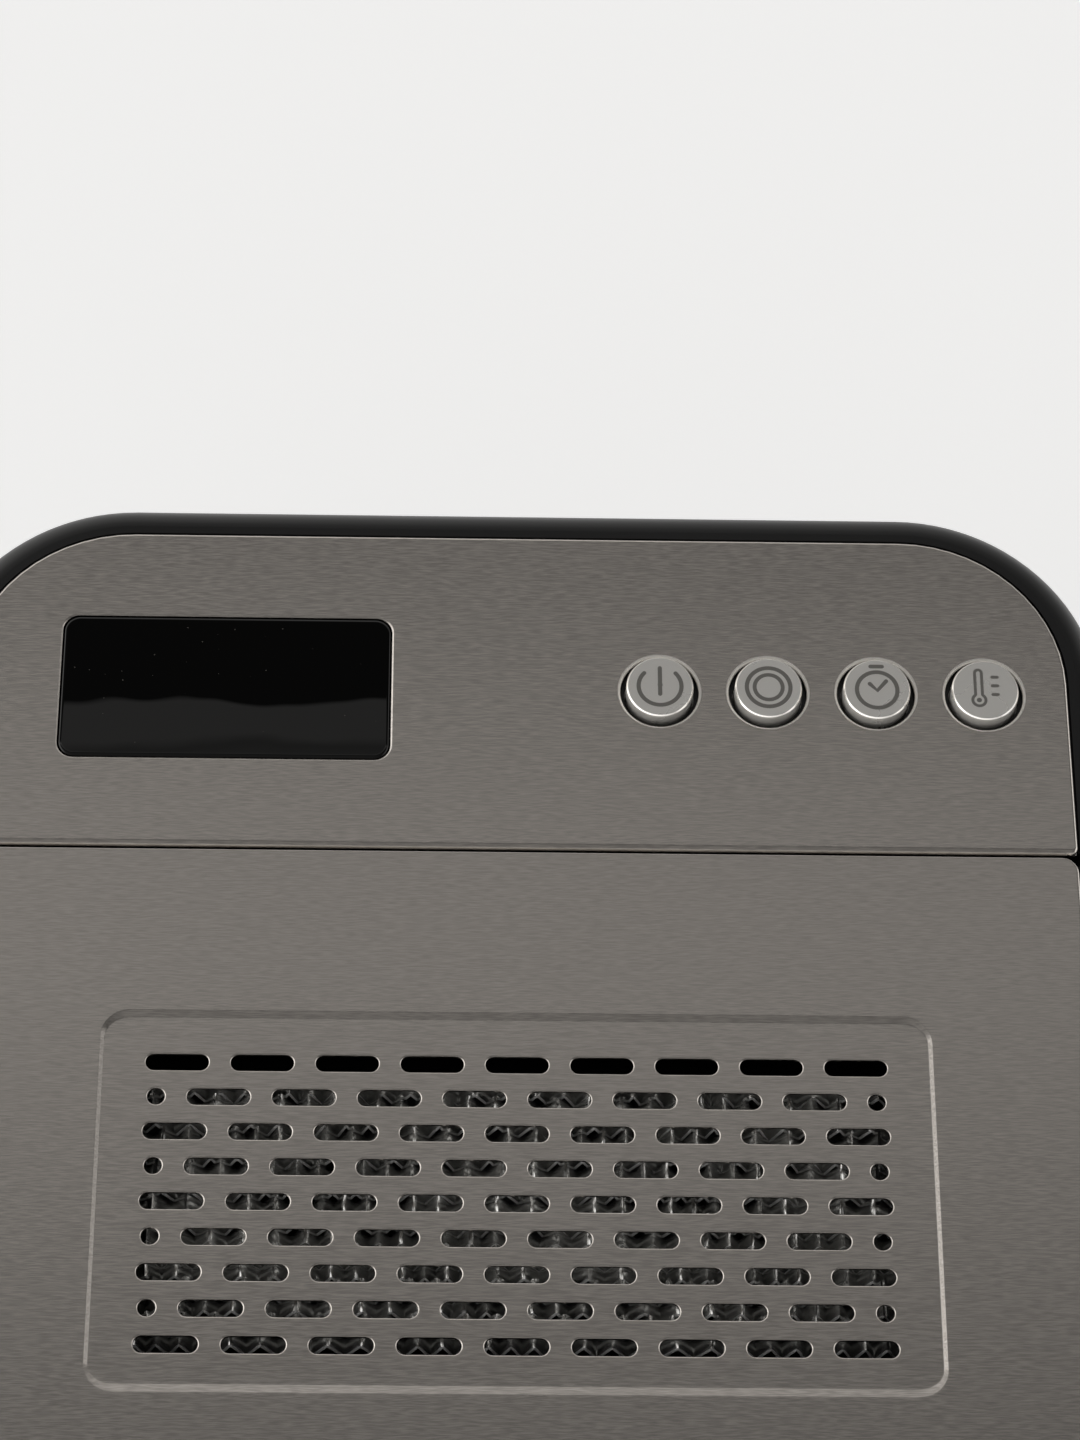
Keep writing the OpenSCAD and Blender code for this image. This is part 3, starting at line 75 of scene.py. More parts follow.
class Slot(str, Enum):
    """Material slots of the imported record."""

    PLASTIC = "black_plastic"
    STEEL = "brushed_steel"
    BUTTON = "button_metal"
    LENS = "lens_black"
    FILTER = "filter_alloy"
    LINER = "liner_grey"
    SEAL = "seal_rubber"
    FOOT = "foot_rubber"
    ZINC = "zinc_steel"
    ROLLER = "roller_grey"
    BUSH = "bush_white"
    DUCT = "duct_alloy"
    CERAMIC = "heater_ceramic"
    BOARD = "board_green"
    COMPONENT = "component_dark"


class Layer(IntEnum):
    """Place of a face's finish among the finishes of its piece."""

    MAIN = 0
    TRIM = 1
    CUT = 2


class Sign(str, Enum):
    """Pictogram printed on a button."""

    POWER = "power"
    SPOOL = "spool"
    TIMER = "timer"
    TEMPERATURE = "temperature"


def linear(code: str) -> Colour:
    """Turns a screen colour into scene-linear values.

    Args:
        code: Six hexadecimal digits after a hash.

    Returns:
        Linear red, green and blue.
    """
    shares = [int(code[i : i + 2], 16) / 255 for i in (1, 3, 5)]
    return tuple(c / 12.92 if c <= 0.04045 else ((c + 0.055) / 1.055) ** 2.4 for c in shares)


def rgba(colour: Colour) -> tuple[float, float, float, float]:
    """Returns a colour with full alpha."""
    return (*colour, 1.0)


def lamp(strength: float) -> tuple[float, float, float, float]:
    """Returns the slightly warm colour of the room light at a strength."""
    return rgba(tuple(strength * share for share in WARMTH))


@dataclass(frozen=True)
class RoundedPlan:
    """Rounded rectangle seen from above, in metres.

    Attributes:
        x0: Left side.
        x1: Right side.
        y0: Front side.
        y1: Rear side.
        front_r: Radius of the two front corners.
        rear_r: Radius of the two rear corners.
        steps: Segments of each corner.
    """

    x0: float
    x1: float
    y0: float
    y1: float
    front_r: float
    rear_r: float
    steps: int

    @classmethod
    def around(
        cls, x: float, y: float, width: float, depth: float, radius: float, steps: int
    ) -> "RoundedPlan":
        """Makes a plan with equal corners about a middle point.

        Args:
            x: Middle along X.
            y: Middle along Y.
            width: Size along X.
            depth: Size along Y.
            radius: Corner radius.
            steps: Segments of each corner.

        Returns:
            The plan.
        """
        return cls(x - width / 2, x + width / 2, y - depth / 2, y + depth / 2, radius, radius, steps)

    @classmethod
    def over(
        cls, node: str, front_r: float, rear_r: float, grow: tuple = (0, 0, 0, 0), steps: int = 14
    ) -> "RoundedPlan":
        """Makes the plan of a CAD node's box.

        Args:
            node: Name of the CAD node.
            front_r: Radius of the front corners.
            rear_r: Radius of the rear corners.
            grow: How far the left, right, front and rear sides move out.
            steps: Segments of each corner.

        Returns:
            The plan.
        """
        low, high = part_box(node)
        left, right, front, rear = grow
        return cls(low.x - left, high.x + right, low.y - front, high.y + rear, front_r, rear_r, steps)

    def ring(self, inset: float, z: float, front: float = 1.0, rear: float = 1.0) -> Ring:
        """Walks the outline once, from the front left corner towards the right.

        Args:
            inset: Distance inside the outline, negative for outside.
            z: Height of the ring.
            front: Share of the inset that the front side takes.
            rear: Share of the inset that the rear side takes.

        Returns:
            Points of the ring.
        """
        corners = (
            (self.x0, self.y0, 1, 1, self.front_r, 180, inset * front),
            (self.x1, self.y0, -1, 1, self.front_r, 270, inset * front),
            (self.x1, self.y1, -1, -1, self.rear_r, 0, inset * rear),
            (self.x0, self.y1, 1, -1, self.rear_r, 90, inset * rear),
        )
        points = []
        for x, y, to_x, to_y, radius, start, inset_y in corners:
            middle_x = x + to_x * max(radius, inset + TINY)
            middle_y = y + to_y * max(radius, inset_y + TINY)
            turn_x = max(radius - inset, TINY)
            turn_y = max(radius - inset_y, TINY)
            for i in range(self.steps + 1):
                angle = math.radians(start + 90 * i / self.steps)
                place = (middle_x + turn_x * math.cos(angle), middle_y + turn_y * math.sin(angle), z)
                points.append(Vector(place))
        return points


def circle(x: float, y: float, radius: float, z: float, steps: int = 64) -> Ring:
    """Makes a level circle.

    Args:
        x: Middle along X.
        y: Middle along Y.
        radius: Radius.
        z: Height.
        steps: Number of points.

    Returns:
        Points of the ring.
    """
    turns = [math.tau * i / steps for i in range(steps)]
    return [Vector((x + radius * math.cos(a), y + radius * math.sin(a), z)) for a in turns]


def bevel(radius: float, flat: float, steep: float, steps: int = 4) -> Pairs:
    """Profile of an edge with a sloped flat between two small rounds.

    Args:
        radius: Radius of the two rounds.
        flat: Length of the sloped flat.
        steep: Slope of the flat in degrees.
        steps: Segments of each round.

    Returns:
        Pairs of distance from the side and depth below the top.
    """
    lean = math.radians(steep)
    across = flat * math.cos(lean)
    down = flat * math.sin(lean)
    profile = []
    for start, end, shift, drop in ((0.0, lean, across, 0.0), (lean, math.pi / 2, 0.0, down)):
        for i in range(steps + 1):
            angle = start + (end - start) * i / steps
            side = shift + radius * (1 - math.sin(angle))
            profile.append((side, drop + radius * (1 - math.cos(angle))))
    return profile


def rounding(radius: float, steps: int = 7) -> Pairs:
    """Profile of a rounded edge, from the flat top to the upright side.

    Args:
        radius: Radius of the edge.
        steps: Segments of the quarter turn.

    Returns:
        Pairs of distance from the side and depth below the top.
    """
    angles = [math.pi / 2 * i / steps for i in range(steps + 1)]
    return [(radius * (1 - math.sin(a)), radius * (1 - math.cos(a))) for a in angles]


def middle(node: str) -> tuple[float, float]:
    """Returns the middle of a CAD node's box along X and Y."""
    low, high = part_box(node)
    return (low.x + high.x) / 2, (low.y + high.y) / 2


class Skin:
    """Mesh that is built from rings, bands between rings and filled flats."""

    def __init__(self, name: str) -> None:
        """Starts an empty mesh for a piece of that name."""
        self.name = name
        self.bm = bmesh.new()

    def add(self, ring: Ring) -> Verts:
        """Adds a ring's points and returns their vertices."""
        return [self.bm.verts.new(p) for p in ring]

    def band(self, first: Verts, second: Verts, closed: bool = True, finish: Layer = Layer.MAIN) -> None:
        """Joins two rings of equal length with four-sided faces.

        Args:
            first: One ring.
            second: The other ring.
            closed: Whether the last point joins the first.
            finish: Finish of the faces.
        """
        count = len(first)
        for i in range(count if closed else count - 1):
            j = (i + 1) % count
            self.bm.faces.new((first[i], first[j], second[j], second[i])).material_index = finish

    def loft(self, rings: list[Ring], finishes: Iterable[Layer] = ()) -> tuple[Verts, Verts]:
        """Joins rings in order.

        Args:
            rings: Rings of equal length.
            finishes: Finish of each band, the main one for the bands that are left.

        Returns:
            Vertices of the first and of the last ring.
        """
        made = [self.add(r) for r in rings]
        for a, b, finish in zip(made, made[1:], chain(finishes, repeat(Layer.MAIN))):
            self.band(a, b, finish=finish)
        return made[0], made[-1]

    def bar(self, edges: list[Verts], finishes: tuple[Layer, ...], closed: bool = False) -> None:
        """Joins the long edges of a bar, and closes its ends where it has any.

        Args:
            edges: Vertices along each edge, in order round the bar.
            finishes: Finish of each side, the first for the ends too.
            closed: Whether the bar joins itself.
        """
        for a, b, finish in zip(edges, edges[1:] + edges[:1], finishes):
            self.band(a, b, closed, finish)
        for end in () if closed else (0, -1):
            self.bm.faces.new([edge[end] for edge in edges]).material_index = finishes[0]

    def fill(self, *loops: Verts) -> None:
        """Fills the flat between an outline and the holes in it.

        Args:
            loops: The outline and its holes, as rings of vertices.
        """
        edges = []
        for loop in loops:
            for a, b in zip(loop, loop[1:] + loop[:1]):
                edges.append(self.bm.edges.get((a, b)) or self.bm.edges.new((a, b)))
        bmesh.ops.triangle_fill(self.bm, use_beauty=True, edges=edges)

    def close(
        self, *materials: bpy.types.Material, sharp: float = 40.0, weigh: bool = True
    ) -> bpy.types.Object:
        """Turns the mesh into an object of the scene.

        Args:
            materials: Materials of the piece, the first for all faces that set none.
            sharp: Angle in degrees above which an edge stays sharp.
            weigh: Whether large flats hold their shading up to the edges.

        Returns:
            The object.
        """
        bmesh.ops.recalc_face_normals(self.bm, faces=self.bm.faces)
        mesh = bpy.data.meshes.new(self.name)
        self.bm.to_mesh(mesh)
        self.bm.free()
        mesh.polygons.foreach_set("use_smooth", [True] * len(mesh.polygons))
        mesh.set_sharp_from_angle(angle=math.radians(sharp))
        for material in materials:
            mesh.materials.append(material)
        piece = bpy.data.objects.new(self.name, mesh)
        bpy.context.scene.collection.objects.link(piece)
        if weigh:
            modifier = piece.modifiers.new("flat_shading", "WEIGHTED_NORMAL")
            modifier.keep_sharp = True
        return piece


def lay_plan_map(piece: bpy.types.Object) -> None:
    """Gives a sheet a map whose first axis runs across the brush lines.

    Args:
        piece: The sheet.
    """
    mesh = piece.data
    layer = mesh.uv_layers.new(name=PLAN_MAP)
    for loop in mesh.loops:
        place = mesh.vertices[loop.vertex_index].co
        layer.data[loop.index].uv = (place.y * MAP_SCALE, place.x * MAP_SCALE)


def add_node(
    tree: bpy.types.NodeTree, kind: str, inputs: dict[str | int, Feed], **traits: object
) -> bpy.types.Node:
    """Adds a node to a tree.

    Args:
        tree: The node tree.
        kind: Type of the node, after the word ShaderNode.
        inputs: Socket, number or colour for each input, by its name or its place.
        traits: Settings of the node, which come before its inputs.

    Returns:
        The node.
    """
    node = tree.nodes.new("ShaderNode" + kind)
    for label, value in traits.items():
        setattr(node, label, value)
    for label, value in inputs.items():
        if isinstance(value, bpy.types.NodeSocket):
            tree.links.new(value, node.inputs[label])
        else:
            node.inputs[label].default_value = value
    return node


def math_node(tree: bpy.types.NodeTree, kind: str, first: Feed, second: Feed) -> bpy.types.NodeSocket:
    """Adds a math node of that kind and returns its result."""
    return add_node(tree, "Math", {0: first, 1: second}, operation=kind).outputs[0]


def mix_node(tree: bpy.types.NodeTree, share: Feed, first: Feed, second: Feed) -> bpy.types.NodeSocket:
    """Adds a node that blends two colours by the second one's share and returns its result."""
    values = {"Factor": share, "A": first, "B": second}
    return add_node(tree, "Mix", values, data_type="RGBA").outputs["Result"]


class Effects:
    """Shader groups, each made once and placed in the finishes with their own values."""

    @staticmethod
    def start(
        name: str, inputs: dict[str, float], outputs: list[str]
    ) -> tuple[bpy.types.NodeTree, Sockets, Sockets]:
        """Opens a group with a place input, number inputs and number outputs.

        Args:
            name: Name of the group.
            inputs: Name and first value of each number input.
            outputs: Names of the number outputs.

        Returns:
            The tree, the sockets of what it takes and the sockets of what it puts out.
        """
        tree = bpy.data.node_groups.new(name, "ShaderNodeTree")
        tree.interface.new_socket("Place", in_out="INPUT", socket_type="NodeSocketVector")
        for label, value in inputs.items():
            socket = tree.interface.new_socket(label, in_out="INPUT", socket_type="NodeSocketFloat")
            socket.default_value = value
        for label in outputs:
            tree.interface.new_socket(label, in_out="OUTPUT", socket_type="NodeSocketFloat")
        return tree, tree.nodes.new("NodeGroupInput").outputs, tree.nodes.new("NodeGroupOutput").inputs

    @cached_property
    def brush(self) -> bpy.types.NodeTree:
        """Group of fine lines that run along X, as a brushed sheet has.

        Returns:
            Group with the outputs Tone and Height.
        """
        tree, into, out = self.start("brush_lines", {"Along": 260.0, "Across": 3200.0}, ["Tone", "Height"])
        split = add_node(tree, "SeparateXYZ", {0: into["Place"]}).outputs
        layers = []
        for stretch, detail, weight in ((1.0, 0.0, 0.6), (0.45, 1.0, 0.4)):
            scaled = {}
            for axis, label in (("X", "Along"), ("Y", "Across"), ("Z", "Across")):
                place = math_node(tree, "MULTIPLY", split[axis], into[label])
                scaled[axis] = math_node(tree, "MULTIPLY", place, stretch)
            place = add_node(tree, "CombineXYZ", scaled).outputs[0]
            values = {"Vector": place, "Scale": 1.0, "Detail": detail, "Roughness": 0.62}
            noise = add_node(tree, "TexNoise", values).outputs["Fac"]
            layers.append(math_node(tree, "MULTIPLY", noise, weight))
        height = math_node(tree, "ADD", *layers)
        crisp = add_node(tree, "MapRange", {"Value": height, "From Min": 0.36, "From Max": 0.64})
        tree.links.new(crisp.outputs[0], out["Tone"])
        tree.links.new(height, out["Height"])
        return tree

    @cached_property
    def mould(self) -> bpy.types.NodeTree:
        """Group of fine moulded grain with slow patches over it.

        Returns:
            Group with the outputs Grain and Patch.
        """
        tree, into, out = self.start("mould_grain", {"Fine": 2600.0, "Slow": 40.0}, ["Grain", "Patch"])
        for label, output, detail in (("Fine", "Grain", 2.0), ("Slow", "Patch", 4.0)):
            values = {"Vector": into["Place"], "Scale": into[label], "Detail": detail}
            noise = add_node(tree, "TexNoise", values)
            tree.links.new(noise.outputs["Fac"], out[output])
        return tree

    @cached_property
    def specks(self) -> bpy.types.NodeTree:
        """Group of sparse round specks, such as dust.

        Returns:
            Group with the output Mask.
        """
        tree, into, out = self.start("dust_specks", {"Cells": 150.0, "Size": 0.03, "Share": 0.2}, ["Mask"])
        places = {"Vector": into["Place"], "Scale": into["Cells"]}
        cells = add_node(tree, "TexVoronoi", places, voronoi_dimensions="2D").outputs
        chance = add_node(tree, "SeparateColor", {0: cells["Color"]}).outputs
        kept = math_node(tree, "LESS_THAN", chance[0], into["Share"])
        reach = math_node(tree, "MULTIPLY", chance[1], into["Size"])
        near = math_node(tree, "LESS_THAN", cells["Distance"], reach)
        tree.links.new(math_node(tree, "MULTIPLY", kept, near), out["Mask"])
        return tree


EFFECTS = Effects()


class Surface:
    """Material in the making, with its shader and its place coordinates."""

    def __init__(self, name: str) -> None:
        """Starts a material.

        Args:
            name: Name of the material.
        """
        self.material = bpy.data.materials.new(name)
        self.material.use_nodes = True
        self.tree = self.material.node_tree
        self.shader = self.tree.nodes["Principled BSDF"]
        self.place = add_node(self.tree, "TexCoord", {}).outputs["Object"]

    def fix(self, **values: float) -> None:
        """Sets numbers on the shader's own sockets, with _ for a space in the name."""
        for label, value in values.items():
            self.shader.inputs[label.replace("_", " ").title()].default_value = value

    def effect(self, group: bpy.types.NodeTree, **values: float) -> Sockets:
        """Adds a shared effect with its own values and returns what it puts out."""
        return add_node(self.tree, "Group", {"Place": self.place, **values}, node_tree=group).outputs

    def tones(
        self, mask: bpy.types.NodeSocket, low: Colour, high: Colour, target: str = "Base Color"
    ) -> None:
        """Blends two colours over a mask and feeds the shader.

        Args:
            mask: Socket from 0 to 1.
            low: Colour at 0.
            high: Colour at 1.
            target: Name of the shader's colour socket.
        """
        blended = mix_node(self.tree, mask, rgba(low), rgba(high))
        self.tree.links.new(blended, self.shader.inputs[target])

    def roughen(self, mask: bpy.types.NodeSocket, rough: float, swing: float) -> None:
        """Feeds the shader's roughness from a mask.

        Args:
            mask: Socket, of which the range from 0.3 to 0.7 is used.
            rough: Middle roughness.
            swing: How far the roughness moves either way.
        """
        ends = {"From Min": 0.3, "From Max": 0.7, "To Min": rough - swing, "To Max": rough + swing}
        reach = add_node(self.tree, "MapRange", {"Value": mask, **ends})
        self.tree.links.new(reach.outputs[0], self.shader.inputs["Roughness"])

    def relief(self, height: bpy.types.NodeSocket, strength: float, depth: float) -> None:
        """Feeds a height into the shader's normal.

        Args:
            height: Socket of the height.
            strength: Strength of the bump.
            depth: Depth in metres.
        """
        values = {"Height": height, "Strength": strength, "Distance": depth}
        bump = add_node(self.tree, "Bump", values)
        self.tree.links.new(bump.outputs["Normal"], self.shader.inputs["Normal"])


@dataclass(frozen=True)
class Finish:
    """Finish of one kind of surface.

    Attributes:
        name: Name of the material.
        colour: Main colour, linear.
        rough: Middle roughness.
        vary: How far the tone varies either way.
    """

    name: str
    colour: Colour
    rough: float
    vary: float = 0.0

    def make(self) -> bpy.types.Material:
        """Builds the material."""
        raise NotImplementedError

    def tint(self, share: float) -> Colour:
        """Returns the colour, lighter or darker by a share."""
        return tuple(min(1.0, c * (1 + share)) for c in self.colour)


@dataclass(frozen=True)
class BrushedMetal(Finish):
    """Sheet metal with brush lines along X.

    Attributes:
        along: Lines' changes per metre along X.
        across: Lines per metre across.
        stretch: Anisotropy of the shine.
        swing: How far the roughness moves either way over the lines.
        bump: Strength of the lines' relief.
        depth: Depth of the lines in metres.
    """

    along: float = 400.0
    across: float = 5400.0
    stretch: float = 0.75
    swing: float = 0.01
    bump: float = 0.0008
    depth: float = 0.00002

    def make(self) -> bpy.types.Material:
        """Builds the metal with its lines in tone, roughness and relief.

        Returns:
            The material.
        """
        surface = Surface(self.name)
        surface.fix(metallic=1.0, anisotropic=self.stretch)
        lines = surface.effect(EFFECTS.brush, Along=self.along, Across=self.across)
        surface.tones(lines["Tone"], self.tint(-self.vary), self.tint(self.vary))
        surface.roughen(lines["Tone"], self.rough, self.swing)
        surface.relief(lines["Height"], self.bump, self.depth)
        across = add_node(surface.tree, "Tangent", {}, direction_type="UV_MAP", uv_map=PLAN_MAP)
        surface.tree.links.new(across.outputs[0], surface.shader.inputs["Tangent"])
        return surface.material


@dataclass(frozen=True)
class Grained(Finish):
    """Surface with a fine grain and slow patches.

    Attributes:
        fine: Grains per metre.
        slow: Patches per metre.
        depth: Depth of the grain in metres.
        swing: How far the roughness moves either way over the patches.
        bump: Strength of the grain's relief.
    """

    fine: float = 2600.0
    slow: float = 30.0
    depth: float = 0.00003
    swing: float = 0.03
    bump: float = 0.3

    def lay(self, surface: Surface, *targets: str) -> bpy.types.Material:
        """Lays the patches in tone and roughness, and the grain in relief.

        Args:
            surface: Surface that takes them.
            targets: Names of the shader's colour sockets that take the tone.

        Returns:
            The surface's material.
        """
        grain = surface.effect(EFFECTS.mould, Fine=self.fine, Slow=self.slow)
        for target in targets:
            surface.tones(grain["Patch"], self.tint(-self.vary), self.tint(self.vary), target)
        surface.roughen(grain["Patch"], self.rough, self.swing)
        surface.relief(grain["Grain"], self.bump, self.depth)
        return surface.material


@dataclass(frozen=True)
class GrainedMetal(Grained):
    """Satin, plated or rolled metal with a fine even grain.

    Attributes:
        metallic: Share of bare metal, less where it is metal paint.
    """

    fine: float = 6000.0
    slow: float = 60.0
    depth: float = 0.00001
    swing: float = 0.05
    bump: float = 0.15
    metallic: float = 1.0

    def make(self) -> bpy.types.Material:
        """Builds the metal with its grain and its slow patches.

        Returns:
            The material.
        """
        surface = Surface(self.name)
        surface.fix(metallic=self.metallic)
        return self.lay(surface, "Base Color")


@dataclass(frozen=True)
class Moulded(Grained):
    """Moulded plastic, rubber or ceramic with a texture from its tool."""

    def make(self) -> bpy.types.Material:
        """Builds the moulding with its grain and patches and returns its material."""
        return self.lay(Surface(self.name), "Base Color")


@dataclass(frozen=True)
class GlossWindow(Grained):
    """Polished dark window, whose grain is a slow waviness, with a little dust.

    Attributes:
        dust: Colour of the dust.
        dust_cells: Places for dust per metre.
        dust_size: Size of the largest speck, as a share of its place.
        dust_share: Share of the places that hold a speck.
    """

    fine: float = 27.0
    slow: float = 16.0
    depth: float = 0.00009
    swing: float = 0.002
    bump: float = 0.5
    dust: Colour = linear("#55524f")
    dust_cells: float = 300.0
    dust_size: float = 0.05
    dust_share: float = 0.16

    def make(self) -> bpy.types.Material:
        """Builds the window with its slow waves and dust.

        Returns:
            The material.
        """
        surface = Surface(self.name)
        sizes = {"Cells": self.dust_cells, "Size": self.dust_size, "Share": self.dust_share}
        specks = surface.effect(EFFECTS.specks, **sizes)
        surface.tones(specks["Mask"], self.colour, self.dust)
        return self.lay(surface)


@dataclass(frozen=True)
class CircuitBoard(Finish):
    """Board with solder mask over tracks.

    Attributes:
        track: Colour over the tracks.
        pitch: Tracks per metre.
        line: Width of a track, as a share of the pitch.
        soft: How soft the edges of the tracks are.
        slow: Patches per metre.
        swing: How far the roughness moves either way over the patches.
        bump: Strength of the tracks' relief.
        depth: Height of the tracks in metres.
    """

    track: Colour = (0.03, 0.17, 0.08)
    pitch: float = 420.0
    line: float = 0.09
    soft: float = 0.2
    slow: float = 90.0
    swing: float = 0.06
    bump: float = 0.3
    depth: float = 0.00003

    def make(self) -> bpy.types.Material:
        """Builds the board with its tracks in tone and relief.

        Returns:
            The material.
        """
        surface = Surface(self.name)
        values = {"Vector": surface.place, "Scale": self.pitch}
        edges = {"Mortar Size": self.line, "Mortar Smooth": self.soft}
        tracks = add_node(surface.tree, "TexBrick", values | edges).outputs["Fac"]
        surface.tones(tracks, self.colour, self.track)
        surface.roughen(surface.effect(EFFECTS.mould, Slow=self.slow)["Patch"], self.rough, self.swing)
        surface.relief(tracks, self.bump, self.depth)
        return surface.material


@dataclass(frozen=True)
class StudioFloor(Grained):
    """Pale seamless floor that is lit from below as well as from the room.

    Attributes:
        glow: Strength of its own light.
    """

    fine: float = 900.0
    slow: float = 3.0
    swing: float = 0.05
    bump: float = 0.1
    glow: float = 0.57

    def make(self) -> bpy.types.Material:
        """Builds the floor.

        Returns:
            The material.
        """
        surface = Surface(self.name)
        surface.fix(emission_strength=self.glow)
        return self.lay(surface, "Base Color", "Emission Color")


FINISHES: dict[Slot, Finish] = {
    Slot.STEEL: BrushedMetal("steel_brushed", linear("#cfc9c3"), 0.19, 0.14),
    Slot.BUTTON: GrainedMetal("button_satin", linear("#f2f0ec"), 0.28, 0.03, metallic=0.6),
    Slot.LENS: GlossWindow("window_gloss", linear("#020202"), 0.005),
    Slot.FILTER: GrainedMetal(
        "filter_foil", linear("#d6d6d4"), 0.2, 0.1, fine=3000.0, slow=300.0, metallic=0.87
    ),
    Slot.PLASTIC: Moulded("plastic_black", linear("#101011"), 0.36, 0.05),
    Slot.LINER: Moulded("liner_moulding", linear("#77797b"), 0.5, 0.06),
    Slot.SEAL: Moulded("seal_silicone", linear("#4a4b4e"), 0.62, 0.06, fine=1800.0),
    Slot.FOOT: Moulded("foot_black_rubber", linear("#181818"), 0.78, 0.15, fine=1500.0, depth=0.00006),
    Slot.ZINC: GrainedMetal("zinc_plating", linear("#ccced0"), 0.28, 0.1, fine=4000.0, slow=700.0),
    Slot.ROLLER: Moulded("roller_turned", linear("#a2a3a5"), 0.44, 0.06, fine=3400.0),
    Slot.BUSH: Moulded("bush_slippery", linear("#e4e3df"), 0.35, 0.03, fine=2200.0),
    Slot.DUCT: GrainedMetal("duct_sheet", linear("#cccdce"), 0.33, 0.07, fine=2400.0, slow=120.0),
    Slot.CERAMIC: Moulded("heater_insulator", linear("#d6cfc0"), 0.6, 0.06, fine=1600.0),
    Slot.BOARD: CircuitBoard("board_mask", linear("#1f5a3b"), 0.34),
    Slot.COMPONENT: Moulded("component_case", linear("#333538"), 0.42, 0.1, fine=3000.0),
}
# Lighter, rougher steel on the rolled collars of the button holes and the lid's rear seam edge: a painted
# highlight on those edges.
HIGHLIGHT_LIP = GrainedMetal("steel_painted_highlight_lip", linear("#fbf8f3"), 0.5, 0.02, metallic=0.8)
# White matt finish for the foil's cut front edges, a painted highlight that stands in for their bright
# glints.
PAINTED_CUT_EDGE_HIGHLIGHT = GrainedMetal(
    "filter_cut_edge_painted_highlight", linear("#fbfbfb"), 0.45, 0.02, fine=3000.0, slow=300.0, metallic=0.0
)
BEVEL = GrainedMetal("button_cut_bevel", linear("#f4f2ee"), 0.14, 0.02)
INK = Moulded("sign_print", linear("#75736f"), 0.5, 0.05, fine=5000.0, depth=0.000005)
FLOOR = StudioFloor("studio_floor", linear("#efefef"), 0.7, 0.004)


@dataclass
class Palette:
    """Materials made from the finishes, each made once.

    Attributes:
        made: Materials by name.
    """

    made: dict[str, bpy.types.Material] = field(default_factory=dict)

    def of(self, finish: Finish) -> bpy.types.Material:
        """Finds the material of a finish, and makes it when it is first asked for.

        Args:
            finish: The finish.

        Returns:
            Its material.
        """
        if finish.name not in self.made:
            self.made[finish.name] = finish.make()
        return self.made[finish.name]

    def slot(self, slot: Slot) -> bpy.types.Material:
        """Returns the material of a record slot."""
        return self.of(FINISHES[slot])


PALETTE = Palette()


def seat(piece: bpy.types.Object, body: str, node: str) -> None:
    """Ties a new piece to its body and hides the node that it stands for.

    Args:
        piece: The new piece.
        body: Body that it rides on.
        node: CAD node that it replaces.
    """
    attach(piece, body)
    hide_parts(node)
    LOG.info("%s: %d faces on %s", piece.name, len(piece.data.polygons), body)


@dataclass
class SheetEdge:
    """Pressed steel sheet's edge forms.

    Attributes:
        thick: Thickness of the sheet.
        roll: Height of the rolled edge.
        reach: Width of the roll as a share of its height.
        outer_steps: Segments of the roll's outer face.
        inner_steps: Segments of its inner face.
        fill: How far a sheet reaches into the gap along the rim.
    """

    thick: float = 0.8 * MM
    roll: float = 1.5 * MM
    reach: float = 0.62
    outer_steps: int = 9
    inner_steps: int = 4
    fill: float = 0.6 * MM

    def rim(
        self, skin: Skin, plan: RoundedPlan, top: float, front: float = 1.0, rear: float = 1.0
    ) -> tuple[Verts, Verts]:
        """Adds the rolled edge round a sheet.

        Args:
            skin: Mesh that takes the edge.
            plan: Outline of the sheet.
            top: Height of its upper face.
            front: Share of the roll's width that the front side takes.
            rear: Share of the roll's width that the rear side takes.

        Returns:
            Vertices of the edge's upper and lower inner ring.
        """
        inner = self.roll - self.thick
        cuts = [(self.roll * self.reach + FLAT, 0.0)]
        cuts += [(side * self.reach, depth) for side, depth in rounding(self.roll, self.outer_steps)]
        for i in range(self.inner_steps + 1):
            angle = math.pi / 2 * i / self.inner_steps
            side = self.thick * self.reach + inner * (1 - math.cos(angle))
            cuts.append((side, self.roll - inner * math.sin(angle)))
        return skin.loft([plan.ring(side, top - depth, front, rear) for side, depth in cuts])

    def hole(
        self,
        skin: Skin,
        rings_at: Callable[[float, float], Ring],
        top: float,
        profile: Pairs,
        finish: Layer = Layer.MAIN,
    ) -> tuple[Verts, Verts]:
        """Adds a hole with a shaped upper edge.

        Args:
            skin: Mesh that takes the hole.
            rings_at: Function from growth and height to a ring.
            top: Height of the sheet's upper face there.
            profile: Pairs of distance from the side and depth below the top.
            finish: Finish below the flat.

        Returns:
            Vertices of the hole's upper and lower ring.
        """
        rings = [rings_at(profile[0][0] + FLAT, top)]
        rings += [rings_at(side, top - depth) for side, depth in profile]
        rings.append(rings_at(0.0, top - self.thick))
        return skin.loft(rings, [Layer.MAIN] + [finish] * len(profile))


